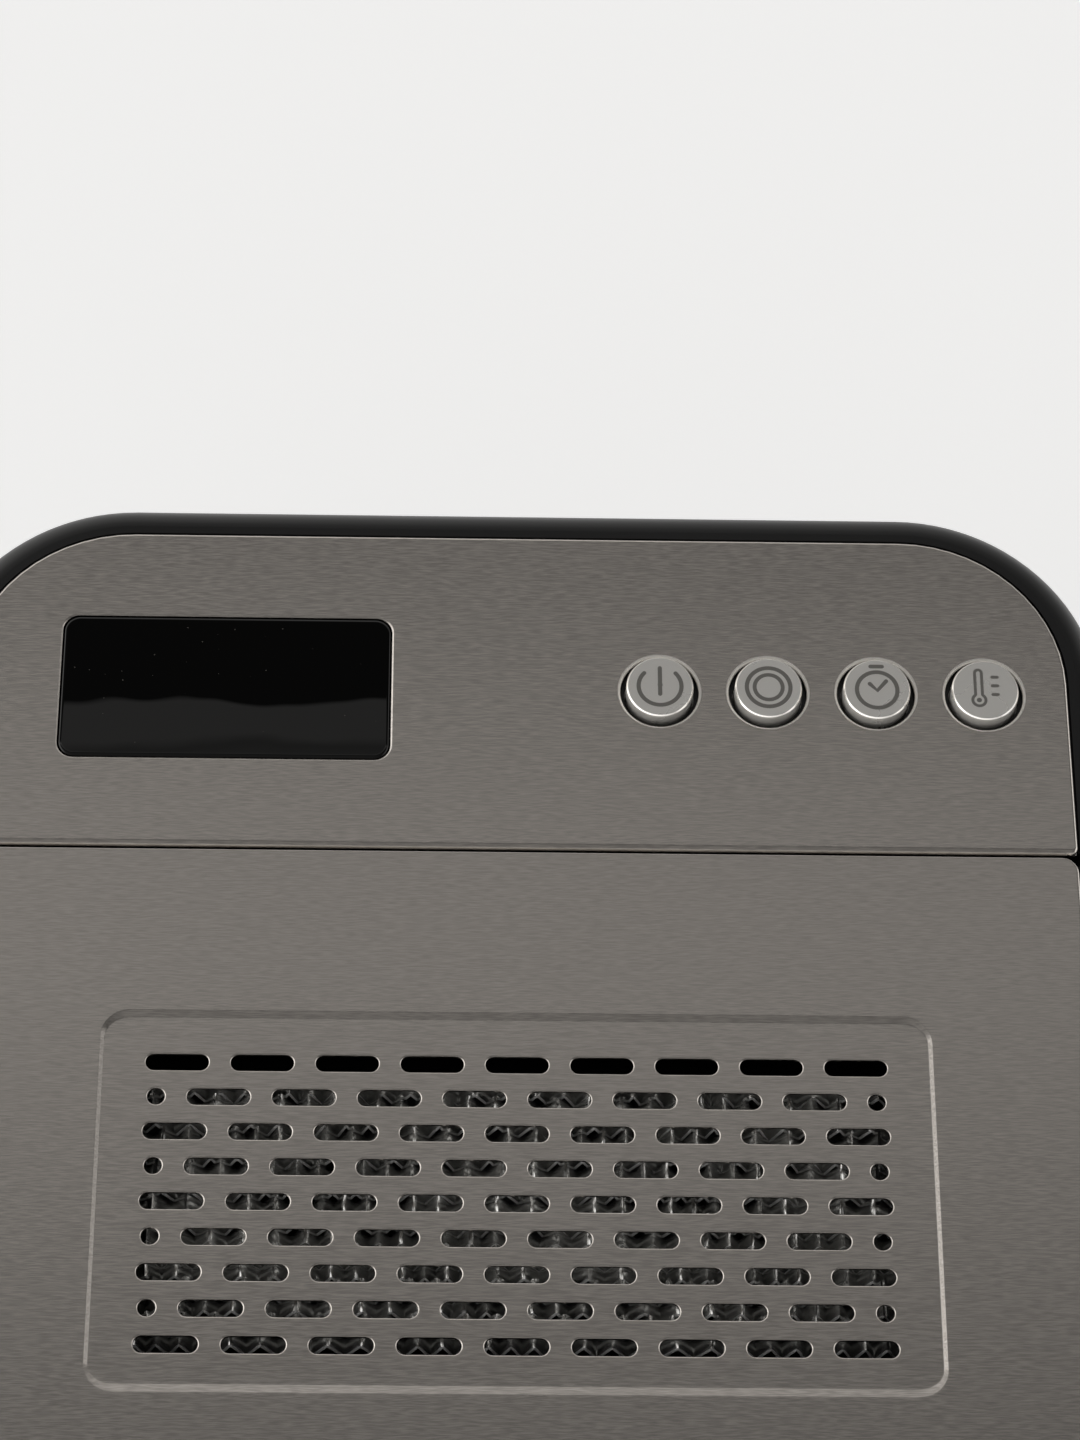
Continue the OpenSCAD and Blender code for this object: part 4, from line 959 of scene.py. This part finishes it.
@dataclass
class DisplayWindow:
    """Polished window over the display.

    Attributes:
        corner: Corner radius.
        edge: Radius of the upper edge.
        flange: Reach of the hidden flange.
        flange_t: Thickness of the flange.
    """

    corner: float = 3.5 * MM
    edge: float = 0.8 * MM
    flange: float = 3 * MM
    flange_t: float = 1.2 * MM

    def build(self) -> bpy.types.Object:
        """Builds the window.

        Returns:
            The piece.
        """
        skin = Skin("display_window")
        low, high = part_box("display_lens")
        plan = RoundedPlan.over("display_lens", self.corner + self.flange, self.corner + self.flange)
        cuts = [(self.flange + self.edge + FLAT, high.z)]
        cuts += [(self.flange + side, high.z - depth) for side, depth in rounding(self.edge)]
        cuts += [(self.flange, low.z + self.flange_t), (0.0, low.z + self.flange_t), (0.0, low.z)]
        first, last = skin.loft([plan.ring(side, z) for side, z in cuts])
        skin.fill(first)
        skin.fill(last)
        return skin.close(PALETTE.slot(Slot.LENS))

    def dress(self) -> None:
        """Builds the window and seats it on the cabinet."""
        seat(self.build(), "cabinet", "display_lens")


@dataclass
class ControlStrip:
    """Brushed strip behind the lid, with the display window and the button holes.

    Attributes:
        edge: Forms of the sheet's edges.
        front_r: Radius of the front corners.
        rear_r: Radius of the rear corners.
        window: Display window that the strip holds.
        window_gap: Gap round the window.
        window_edge: Radius of the rounds beside the bevel of the window's hole.
        window_slant: Length of that bevel's flat.
        window_steep: Slope of that flat in degrees.
        window_steps: Segments of each corner of that hole.
        hole_r: Radius of a button hole.
        collar: Radius of the rolled edge of a button hole.
        collar_steps: Segments of that roll.
        seam_share: Share of the roll's width along the seam with the lid.
    """

    edge: SheetEdge = field(default_factory=SheetEdge)
    front_r: float = 1.7 * MM
    rear_r: float = 34 * MM
    window: DisplayWindow = field(default_factory=DisplayWindow)
    window_gap: float = 0.15 * MM
    window_edge: float = 0.08 * MM
    window_slant: float = 0.34 * MM
    window_steep: float = 30.0
    window_steps: int = 8
    hole_r: float = 8.2 * MM
    collar: float = 0.6 * MM
    collar_steps: int = 5
    seam_share: float = 1.3

    def build(self) -> bpy.types.Object:
        """Builds the strip.

        Returns:
            The piece.
        """
        skin = Skin("control_strip")
        fill = self.edge.fill
        plan = RoundedPlan.over("control_panel", self.front_r, self.rear_r + fill, (fill, fill, 0, fill))
        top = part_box("control_panel")[1].z
        flats = [self.edge.rim(skin, plan, top, front=self.seam_share)]
        grow = (self.window_gap - self.window.flange,) * 4
        corner = self.window.corner
        window = RoundedPlan.over("display_lens", corner, corner, grow, self.window_steps)
        slant = bevel(self.window_edge, self.window_slant, self.window_steep)
        flats.append(self.edge.hole(skin, lambda side, z: window.ring(-side, z), top, slant))
        collar = rounding(self.collar, self.collar_steps)
        for sign in Sign:
            x, y = middle("button_" + sign.value)
            # Each button hole's rolled collar takes the lighter lip finish, a painted highlight.
            flats.append(
                self.edge.hole(
                    skin, lambda side, z: circle(x, y, self.hole_r + side, z), top, collar, Layer.TRIM
                )
            )
        for loops in zip(*flats):
            skin.fill(*loops)
        return skin.close(PALETTE.slot(Slot.STEEL), PALETTE.of(HIGHLIGHT_LIP))

    def dress(self) -> None:
        """Builds the strip and seats it on the cabinet."""
        piece = self.build()
        lay_plan_map(piece)
        seat(piece, "cabinet", "control_panel")


@dataclass
class LidSheet:
    """Brushed lid sheet with a sunk field of slots.

    Attributes:
        edge: Forms of the sheet's edges.
        front_r: Radius of the front corners.
        rear_r: Radius of the rear corners.
        field_y: Middle of the sunk field.
        field_w: Width of the field.
        field_d: Depth of the field from front to rear.
        field_r: Corner radius of the field.
        field_steps: Segments of each corner of the field.
        sink: How deep the field is sunk.
        slope: Width of the field's sloped wall.
        steep: Angle of that wall in degrees.
        bend: Radius of its upper and lower bend.
        bend_steps: Segments of each bend.
        slot_y: Middle of the slots.
        pitch_x: Distance between slots in a row.
        pitch_y: Distance between rows.
        rows: Number of rows.
        per_row: Slots in a full row.
        slot_l: Length of a slot.
        slot_w: Width of a slot.
        slot_flat: How far a slot's corner radius falls short of half its width.
        slot_steps: Segments of each corner of a slot.
        end_x: Place of the round holes that end the short rows.
        lip: Radius of the rounds beside the bevel of the slots' upper edges.
        lip_slant: Length of that bevel's flat.
        lip_steep: Slope of that flat in degrees.
        lip_steps: Segments of each round.
        seam_share: Share of the roll's width along the seam with the strip.
        seam_fill: How far the sheet reaches into the gap of that seam.
        front_share: Share of the wall's width along the field's front side.
        rear_share: Share of the wall's width along the field's rear side.
    """

    edge: SheetEdge = field(default_factory=SheetEdge)
    front_r: float = 34 * MM
    rear_r: float = 3.5 * MM
    field_y: float = -25.9 * MM
    field_w: float = 167.4 * MM
    field_d: float = 80.7 * MM
    field_r: float = 6 * MM
    field_steps: int = 10
    sink: float = 0.485 * MM
    slope: float = 1.0 * MM
    steep: float = 27.8
    bend: float = 0.25 * MM
    bend_steps: int = 4
    slot_y: float = -26.5 * MM
    pitch_x: float = 17 * MM
    pitch_y: float = 7.42 * MM
    rows: int = 9
    per_row: int = 9
    slot_l: float = 12.7 * MM
    slot_w: float = 3.6 * MM
    slot_flat: float = 0.02 * MM
    slot_steps: int = 6
    end_x: float = 71.95 * MM
    lip: float = 0.05 * MM
    lip_slant: float = 0.2 * MM
    lip_steep: float = 30.0
    lip_steps: int = 2
    seam_share: float = 0.35
    seam_fill: float = 0.3 * MM
    front_share: float = 2.2
    rear_share: float = 1.6

    def slots(self) -> list[tuple[float, float, float]]:
        """Lists the openings of the field.

        Returns:
            Middle along X and Y and length of each opening.
        """
        found = []
        for row in range(self.rows):
            y = self.slot_y + (row - (self.rows - 1) / 2) * self.pitch_y
            count = self.per_row - row % 2
            for i in range(count):
                found.append(((i - (count - 1) / 2) * self.pitch_x, y, self.slot_l))
            if row % 2:
                found.append((-self.end_x, y, self.slot_w))
                found.append((self.end_x, y, self.slot_w))
        return found

    def wall(self, skin: Skin, plan: RoundedPlan, top: float) -> tuple[Verts, Verts]:
        """Adds the field's sloped wall between two small bends.

        Args:
            skin: Mesh that takes the wall.
            plan: Outline of the field.
            top: Height of the wall's upper end.

        Returns:
            Vertices of its outer and inner ring.
        """
        turns = [math.radians(self.steep) * i / self.bend_steps for i in range(self.bend_steps + 1)]
        bend = [(self.bend * math.sin(a), self.bend * (1 - math.cos(a))) for a in turns]
        cuts = [(-FLAT, 0.0)] + bend
        cuts += [(self.slope - side, self.sink - depth) for side, depth in reversed(cuts)]
        shares = (self.front_share, self.rear_share)
        return skin.loft([plan.ring(side, top - depth, *shares) for side, depth in cuts])

    def build(self) -> bpy.types.Object:
        """Builds the sheet.

        Returns:
            The piece.
        """
        skin = Skin("lid_sheet")
        fill = self.edge.fill
        grow = (fill, fill, fill, self.seam_fill)
        plan = RoundedPlan.over("lid_skin", self.front_r + fill, self.rear_r, grow)
        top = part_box("lid_skin")[1].z
        upper, lower = self.edge.rim(skin, plan, top, rear=self.seam_share)
        roll = self.edge.roll * self.edge.reach * self.seam_share
        # The rolled rear edge along the seam takes the lighter lip finish, a painted highlight.
        for face in skin.bm.faces:
            if min(v.co.y for v in face.verts) > plan.y1 - roll - TINY:
                face.material_index = Layer.TRIM
        sizes = (self.field_w, self.field_d, self.field_r, self.field_steps)
        sunk = RoundedPlan.around(0.0, self.field_y, *sizes)
        outer, floor = self.wall(skin, sunk, top)
        outer_under, floor_under = self.wall(skin, sunk, top - self.edge.thick)
        skin.fill(upper, outer)
        skin.fill(lower, outer_under)
        flats = [(floor, floor_under)]
        slant = bevel(self.lip, self.lip_slant, self.lip_steep, self.lip_steps)
        radius = self.slot_w / 2 - self.slot_flat
        for x, y, length in self.slots():
            slot = RoundedPlan.around(x, y, length, self.slot_w, radius, self.slot_steps)
            flats.append(
                self.edge.hole(skin, lambda side, z: slot.ring(-side, z), top - self.sink, slant)
            )
        for loops in zip(*flats):
            skin.fill(*loops)
        return skin.close(PALETTE.slot(Slot.STEEL), PALETTE.of(HIGHLIGHT_LIP))

    def dress(self) -> None:
        """Builds the sheet and seats it on the lid."""
        piece = self.build()
        lay_plan_map(piece)
        seat(piece, "lid", "lid_skin")


@dataclass
class Ribbon:
    """Flat printed line of even width with round ends.

    Attributes:
        path: Points of its middle line.
        width: Width of the line.
        closed: Whether the line joins itself.
    """

    path: Pairs
    width: float
    closed: bool = False

    def sections(self) -> list[tuple[Vector, Vector, float]]:
        """Cuts the line across along its length.

        Returns:
            Place, sideways direction and half width of each cut.
        """
        points = [Vector((x, y)) for x, y in self.path]
        count = len(points)
        half = self.width / 2
        cuts = []
        for i, point in enumerate(points):
            before = points[(i - 1) % count] if self.closed or i else point
            after = points[(i + 1) % count] if self.closed or i < count - 1 else point
            along = (after - before).normalized()
            cuts.append((point, Vector((-along.y, along.x)), half))
        if self.closed:
            return cuts
        caps = [math.radians(a) for a in (80, 60, 40, 20)]
        start_side = cuts[0][1]
        start = Vector((-start_side.y, start_side.x)) * half
        end_side = cuts[-1][1]
        end = Vector((end_side.y, -end_side.x)) * half
        head = [(points[0] + start * math.sin(a), start_side, half * math.cos(a)) for a in caps]
        tail = [(points[-1] + end * math.sin(a), end_side, half * math.cos(a)) for a in caps]
        return head + cuts + tail[::-1]

    def print_on(self, skin: Skin, x: float, y: float, low: float, high: float) -> None:
        """Adds the line to a mesh as a thin raised print.

        Args:
            skin: Mesh that takes the print.
            x: Place of the sign's middle along X.
            y: Place of the sign's middle along Y.
            low: Height of its underside.
            high: Height of its upper face.
        """
        edges = [[], [], [], []]
        for place, side, half in self.sections():
            left = place + side * half
            right = place - side * half
            for edge, spot, z in zip(edges, (left, right, right, left), (high, high, low, low)):
                edge.append(skin.bm.verts.new((x + spot.x, y + spot.y, z)))
        skin.bar(edges, (Layer.TRIM,) * 4, self.closed)


def arc(radius: float, start: float, end: float, x: float = 0.0, y: float = 0.0, steps: int = 48) -> Pairs:
    """Lists points of an arc in a plane.

    Args:
        radius: Radius.
        start: First angle in degrees from +X.
        end: Last angle in degrees.
        x: Middle along X.
        y: Middle along Y.
        steps: Segments.

    Returns:
        Pairs of coordinates.
    """
    angles = [math.radians(start + (end - start) * i / steps) for i in range(steps + 1)]
    return [(x + radius * math.cos(a), y + radius * math.sin(a)) for a in angles]


def hoop(radius: float, width: float, y: float = 0.0) -> Ribbon:
    """Returns a closed printed ring about the button's middle, or about a point at y."""
    return Ribbon(arc(radius, 0, HOOP_END, 0.0, y), width, True)


def sign_lines(sign: Sign) -> list[Ribbon]:
    """Draws a pictogram as printed lines about its button's middle.

    Args:
        sign: Which pictogram.

    Returns:
        The lines, in metres.
    """
    line = 0.88 * MM
    if sign is Sign.POWER:
        return [
            Ribbon(arc(4.5 * MM, 137, 403), line),
            Ribbon([(0.0, 4.3 * MM), (0.0, -1.9 * MM)], line),
        ]
    if sign is Sign.SPOOL:
        return [hoop(4.58 * MM, line), hoop(2.95 * MM, line * 0.94)]
    if sign is Sign.TIMER:
        return [
            hoop(4.25 * MM, line, -0.35 * MM),
            Ribbon([(-1.5 * MM, 1.1 * MM), (0.05 * MM, -0.5 * MM), (1.95 * MM, 1.75 * MM)], line),
            Ribbon([(-1.2 * MM, 5.25 * MM), (1.2 * MM, 5.25 * MM)], line),
        ]
    stem = 0.72 * MM
    stem_y = 4.0 * MM
    bulb = 1.38 * MM
    bulb_y = -2.5 * MM
    x = -1.4 * MM
    meet = math.degrees(math.asin(stem / bulb))
    outline = arc(bulb, 90 + meet, 450 - meet, x, bulb_y, 36) + arc(stem, 0, 180, x, stem_y, 16)
    drop = Ribbon([(x - TINY, bulb_y), (x + TINY, bulb_y)], 1.05 * MM)
    thin = 0.62 * MM
    dash = 0.72 * MM
    dashes = [Ribbon([(1.55 * MM, y * MM), (2.6 * MM, y * MM)], dash) for y in (3.0, 0.95, -1.15)]
    return [Ribbon(outline, thin, True), drop, *dashes]


@dataclass
class ButtonCap:
    """Round metal button with a printed pictogram.

    Attributes:
        sign: The pictogram.
        radius: Radius of the cap.
        edge: Radius of the rounds beside the cap's upper bevel.
        slant: Length of that bevel's flat.
        steep: Slope of that flat in degrees.
        draft: How much narrower the cap is at the top.
        print_h: Height of the print.
        flange_h: Height of the flange below the panel.
        stem_r: Radius of the stem.
        stem_h: Length of the stem below the flange.
    """

    sign: Sign
    radius: float = 7.2 * MM
    edge: float = 0.22 * MM
    slant: float = 0.36 * MM
    steep: float = 55.0
    draft: float = 0.15 * MM
    print_h: float = 0.03 * MM
    flange_h: float = 1.4 * MM
    stem_r: float = 2.5 * MM
    stem_h: float = 0.4 * MM

    def build(self) -> bpy.types.Object:
        """Builds the cap with its print.

        Returns:
            The piece.
        """
        node = "button_" + self.sign.value
        low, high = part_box(node)
        x, y = middle(node)
        face = high.z - self.print_h
        flange = (high.x - low.x) / 2
        under = low.z + self.stem_h
        skin = Skin(node + "_cap")
        radius = self.radius - self.draft
        profile = bevel(self.edge, self.slant, self.steep)
        cuts = [(radius - profile[0][0] - FLAT, face)]
        cuts += [(radius - side, face - depth) for side, depth in profile]
        cuts += [(self.radius, under + self.flange_h), (flange, under + self.flange_h), (flange, under)]
        cuts += [(self.stem_r, under), (self.stem_r, low.z)]
        slanted = len(profile) // 2
        rings = [circle(x, y, reach, z) for reach, z in cuts]
        first, last = skin.loft(rings, [Layer.MAIN] * slanted + [Layer.CUT])
        skin.fill(first)
        skin.fill(last)
        for line in sign_lines(self.sign):
            line.print_on(skin, x, y, face - self.print_h, high.z)
        return skin.close(PALETTE.slot(Slot.BUTTON), PALETTE.of(INK), PALETTE.of(BEVEL))

    def dress(self) -> None:
        """Builds the cap and seats it on its own body."""
        seat(self.build(), self.sign.value + "_button", "button_" + self.sign.value)


@dataclass
class FilterFoil:
    """Stack of lanced foil strips, waved across the vent, in a thin frame.

    Attributes:
        wave: Length of one wave along X.
        wave_steps: Segments of one wave.
        soft: Share of a sine in the wave's form, for round crests.
        strip: Depth of one strip along Y.
        lance: Gap between strips.
        crest: Height of the tallest waves.
        sag: How much lower the lowest waves are.
        stagger: Shift of every other strip, in waves.
        stray: Random shift of a strip either way, in waves.
        foil: Thickness of the foil.
        lift: How far the crests rise above the node's box, under the sheet.
        wander: How far the waves wander from even spacing, in waves.
        wander_l: Length over which they wander and come back.
        wall: Width of the frame.
        wall_h: Height of the frame.
        corner: Corner radius of the frame.
        corner_steps: Segments of each corner.
        chamfer: Chamfer of the frame's upper edges.
        gap: Gap between the frame and the strips.
        seed: Start of the random shifts.
    """

    wave: float = 5.3 * MM
    wave_steps: int = 14
    soft: float = 0.2
    strip: float = 3.55 * MM
    lance: float = 0.12 * MM
    crest: float = 6.2 * MM
    sag: float = 0.9 * MM
    stagger: float = 0.5
    stray: float = 0.5
    foil: float = 0.34 * MM
    lift: float = 0.7 * MM
    wander: float = 0.45
    wander_l: float = 71 * MM
    wall: float = 2.2 * MM
    wall_h: float = 4.5 * MM
    corner: float = 1 * MM
    corner_steps: int = 3
    chamfer: float = 0.3 * MM
    gap: float = 0.1 * MM
    seed: int = 11

    def height(self, share: float) -> float:
        """Height of the wave, from 0 to 1, with round crests.

        Args:
            share: Place along the wave, in waves.

        Returns:
            The height.
        """
        turn = share % 1.0
        slope = 4 * abs(turn - 0.5) - 1
        return 0.5 + 0.5 * ((1 - self.soft) * slope + self.soft * math.sin(math.pi / 2 * slope))

    def add_strip(
        self, skin: Skin, x0: float, x1: float, y0: float, z0: float, rise: float, shift: float
    ) -> None:
        """Adds one waved strip.

        Args:
            skin: Mesh that takes the strip.
            x0: Left end.
            x1: Right end.
            y0: Front edge.
            z0: Lowest height.
            rise: Height of the wave.
            shift: Shift of the wave along X, in waves.
        """
        steps = int((x1 - x0) / self.wave * self.wave_steps)
        y1 = y0 + self.strip - self.lance
        spots = []
        for i in range(steps + 1):
            x = x0 + (x1 - x0) * i / steps
            astray = self.wander * math.sin(math.tau * (x / self.wander_l + shift))
            spots.append(Vector((x, z0 + rise * self.height(x / self.wave + shift + astray))))
        edges = [[], [], [], []]
        for i, spot in enumerate(spots):
            along = (spots[min(i + 1, steps)] - spots[max(i - 1, 0)]).normalized()
            side = Vector((-along.y, along.x)) * self.foil / 2
            over = spot + side
            under = spot - side
            corners = ((over, y0), (over, y1), (under, y1), (under, y0 - self.foil))
            for edge, (place, y) in zip(edges, corners):
                edge.append(skin.bm.verts.new((place.x, y, place.y)))
        # The slanted front cut face of each strip takes the white cut-edge finish, a painted highlight.
        skin.bar(edges, (Layer.MAIN, Layer.MAIN, Layer.MAIN, Layer.CUT))

    def build(self) -> bpy.types.Object:
        """Builds the frame and its strips.

        Returns:
            The piece.
        """
        chance = random.Random(self.seed)
        skin = Skin("filter_mesh")
        low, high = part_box("vent_filter")
        plan = RoundedPlan.over("vent_filter", self.corner, self.corner, steps=self.corner_steps)
        top = low.z + self.wall_h
        cuts = [(0.0, low.z), (0.0, top - self.chamfer), (self.chamfer, top)]
        cuts += [(self.wall - self.chamfer, top), (self.wall, top - self.chamfer), (self.wall, low.z)]
        # The frame takes the black plastic finish, as the frame's own colour and as painted shade that
        # darkens the rear row of slots.
        first, last = skin.loft([plan.ring(side, z) for side, z in cuts], repeat(Layer.TRIM))
        skin.band(last, first, finish=Layer.TRIM)
        margin = self.wall + self.gap
        count = int((high.y - low.y - 2 * margin) / self.strip)
        start = (low.y + high.y) / 2 - count * self.strip / 2
        z0 = high.z + self.lift - self.foil - self.crest
        for row in range(count):
            rise = self.crest - chance.uniform(0.0, self.sag)
            shift = self.stagger * (row % 2) + chance.uniform(-self.stray, self.stray)
            self.add_strip(skin, low.x + margin, high.x - margin, start + row * self.strip, z0, rise, shift)
        finishes = (PALETTE.slot(Slot.FILTER), PALETTE.slot(Slot.PLASTIC), PALETTE.of(PAINTED_CUT_EDGE_HIGHLIGHT))
        return skin.close(*finishes, sharp=50.0, weigh=False)

    def dress(self) -> None:
        """Builds the foil and seats it in the lid."""
        seat(self.build(), "lid", "vent_filter")


@dataclass
class CadNodes:
    """CAD nodes that keep their shape and get a finish by their slot."""

    def dress(self) -> None:
        """Gives every node the material of its record slot."""
        for name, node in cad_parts.items():
            slot = Slot(node.data.materials[0].name.split(".")[0])
            node.data.materials[0] = PALETTE.slot(slot)
            LOG.info("%s: %s", name, slot.value)


@dataclass
class Studio:
    """Floor, room light and camera.

    Attributes:
        floor_half: Half the size of the floor.
        lens: Focal length in millimetres.
        sensor: Width of the camera's sensor in millimetres.
        sight: How far the camera sees.
        place: Place of the camera.
        turn: Rotation of the camera in degrees.
        sides: For the left and the right, where its light begins and is full along X, and the light.
        tilt: How fast the light falls from the left to the right.
        wobble: How far the bands' edges waver, in radians from end to end.
        wobble_scale: How fast they waver.
        bands: Angle from the rear horizon over the top to the front, and the light there.
        fine_bands: The same for the narrow part of the sky that the top face mirrors.
    """

    floor_half: float = 40.0
    lens: float = 105.0
    sensor: float = 36.0
    sight: float = 200.0
    place: tuple = (-0.01606, -0.33612, 1.0306)
    turn: tuple = (28.38938, -1.49409, -0.07983)
    sides: tuple = ((-0.58, -0.97, 1.25), (0.64, 0.98, 3.2))
    tilt: float = 0.65
    wobble: float = 0.02
    wobble_scale: float = 9.0
    bands: tuple = (
        *((0, 0.75), (28, 0.72), (43, 0.45), (53, 0.06), (61, 0.045), (67, 0.3), (69, 0.12)),
        *((80, 0.11), (92, 0.2), (150, 0.2), (160, 0.24), (164, 1.1), (180, 1.1)),
    )
    fine_bands: tuple = (
        *((59, 0.047), (61.26, 0.045), (61.3, 0.36), (61.8, 0.36), (61.95, 0.22), (62.4, 0.35)),
        *((62.8, 0.53), (63.5, 0.74), (64.2, 0.8), (64.9, 0.81), (65.7, 0.56), (66.4, 0.38), (67, 0.3)),
    )

    def floor(self) -> None:
        """Builds the floor."""
        skin = Skin("floor")
        half = self.floor_half
        corners = ((-half, -half), (half, -half), (half, half), (-half, half))
        skin.bm.faces.new(skin.add([Vector((x, y, 0.0)) for x, y in corners]))
        piece = skin.close(PALETTE.of(FLOOR), weigh=False)
        LOG.info("floor: laid")

    @staticmethod
    def ramp(
        tree: bpy.types.NodeTree, angle: bpy.types.NodeSocket, bands: tuple
    ) -> bpy.types.NodeSocket:
        """Adds a colour ramp over a range of angles.

        Args:
            tree: The room's node tree.
            angle: Socket of the angle in degrees.
            bands: Angles and the light there.

        Returns:
            The ramp's colour.
        """
        first = bands[0][0]
        span = bands[-1][0] - first
        share = math_node(tree, "DIVIDE", math_node(tree, "SUBTRACT", angle, first), span)
        node = add_node(tree, "ValToRGB", {0: share})
        elements = node.color_ramp.elements
        elements.remove(elements[1])
        for place, (degrees, value) in enumerate(bands):
            stop = elements.new((degrees - first) / span) if place else elements[0]
            stop.color = lamp(value)
        return node.outputs["Color"]

    def room(self) -> None:
        """Builds the room's soft light as bands over the sky."""
        world = bpy.data.worlds.new("studio_room")
        world.use_nodes = True
        bpy.context.scene.world = world
        tree = world.node_tree
        direction = add_node(tree, "TexCoord", {}).outputs["Generated"]
        split = add_node(tree, "SeparateXYZ", {0: direction}).outputs
        values = {"Vector": direction, "Scale": self.wobble_scale, "Detail": 1.0}
        noise = add_node(tree, "TexNoise", values).outputs["Fac"]
        turn = math_node(tree, "ARCTAN2", split["Z"], split["Y"])
        shift = math_node(tree, "MULTIPLY", math_node(tree, "SUBTRACT", noise, 0.5), self.wobble)
        angle = math_node(tree, "MULTIPLY", math_node(tree, "ADD", turn, shift), 180 / math.pi)
        above = math_node(tree, "GREATER_THAN", angle, self.fine_bands[0][0])
        below = math_node(tree, "LESS_THAN", angle, self.fine_bands[-1][0])
        inside = math_node(tree, "MULTIPLY", above, below)
        coarse = self.ramp(tree, angle, self.bands)
        light = mix_node(tree, inside, coarse, self.ramp(tree, angle, self.fine_bands))
        for near, far, strength in self.sides:
            reach = {"Value": split["X"], "From Min": near, "From Max": far}
            mask = add_node(tree, "MapRange", reach, interpolation_type="SMOOTHSTEP")
            light = mix_node(tree, mask.outputs[0], light, lamp(strength))
        background = tree.nodes["Background"].inputs
        tree.links.new(light, background["Color"])
        fall = math_node(tree, "MULTIPLY", split["X"], -self.tilt)
        tree.links.new(math_node(tree, "ADD", fall, 1.0), background["Strength"])
        LOG.info("room light: set")

    def camera(self) -> None:
        """Places the camera at the photograph's angle."""
        data = bpy.data.cameras.new("photo_camera")
        data.lens = self.lens
        data.sensor_width = self.sensor
        data.clip_end = self.sight
        camera = bpy.data.objects.new("photo_camera", data)
        camera.location = self.place
        camera.rotation_euler = [math.radians(a) for a in self.turn]
        bpy.context.scene.collection.objects.link(camera)
        bpy.context.scene.camera = camera
        bpy.context.scene.view_settings.view_transform = "Standard"
        LOG.info("camera: set")

    def dress(self) -> None:
        """Builds the floor, the light and the camera."""
        self.floor()
        self.room()
        self.camera()


def main() -> None:
    """Builds the scene, piece by piece."""
    logging.basicConfig(level=logging.INFO, format="%(message)s")
    CadNodes().dress()
    Studio().dress()
    ControlStrip().dress()
    LidSheet().dress()
    DisplayWindow().dress()
    for sign in Sign:
        ButtonCap(sign).dress()
    FilterFoil().dress()


if __name__ == "__main__":
    main()
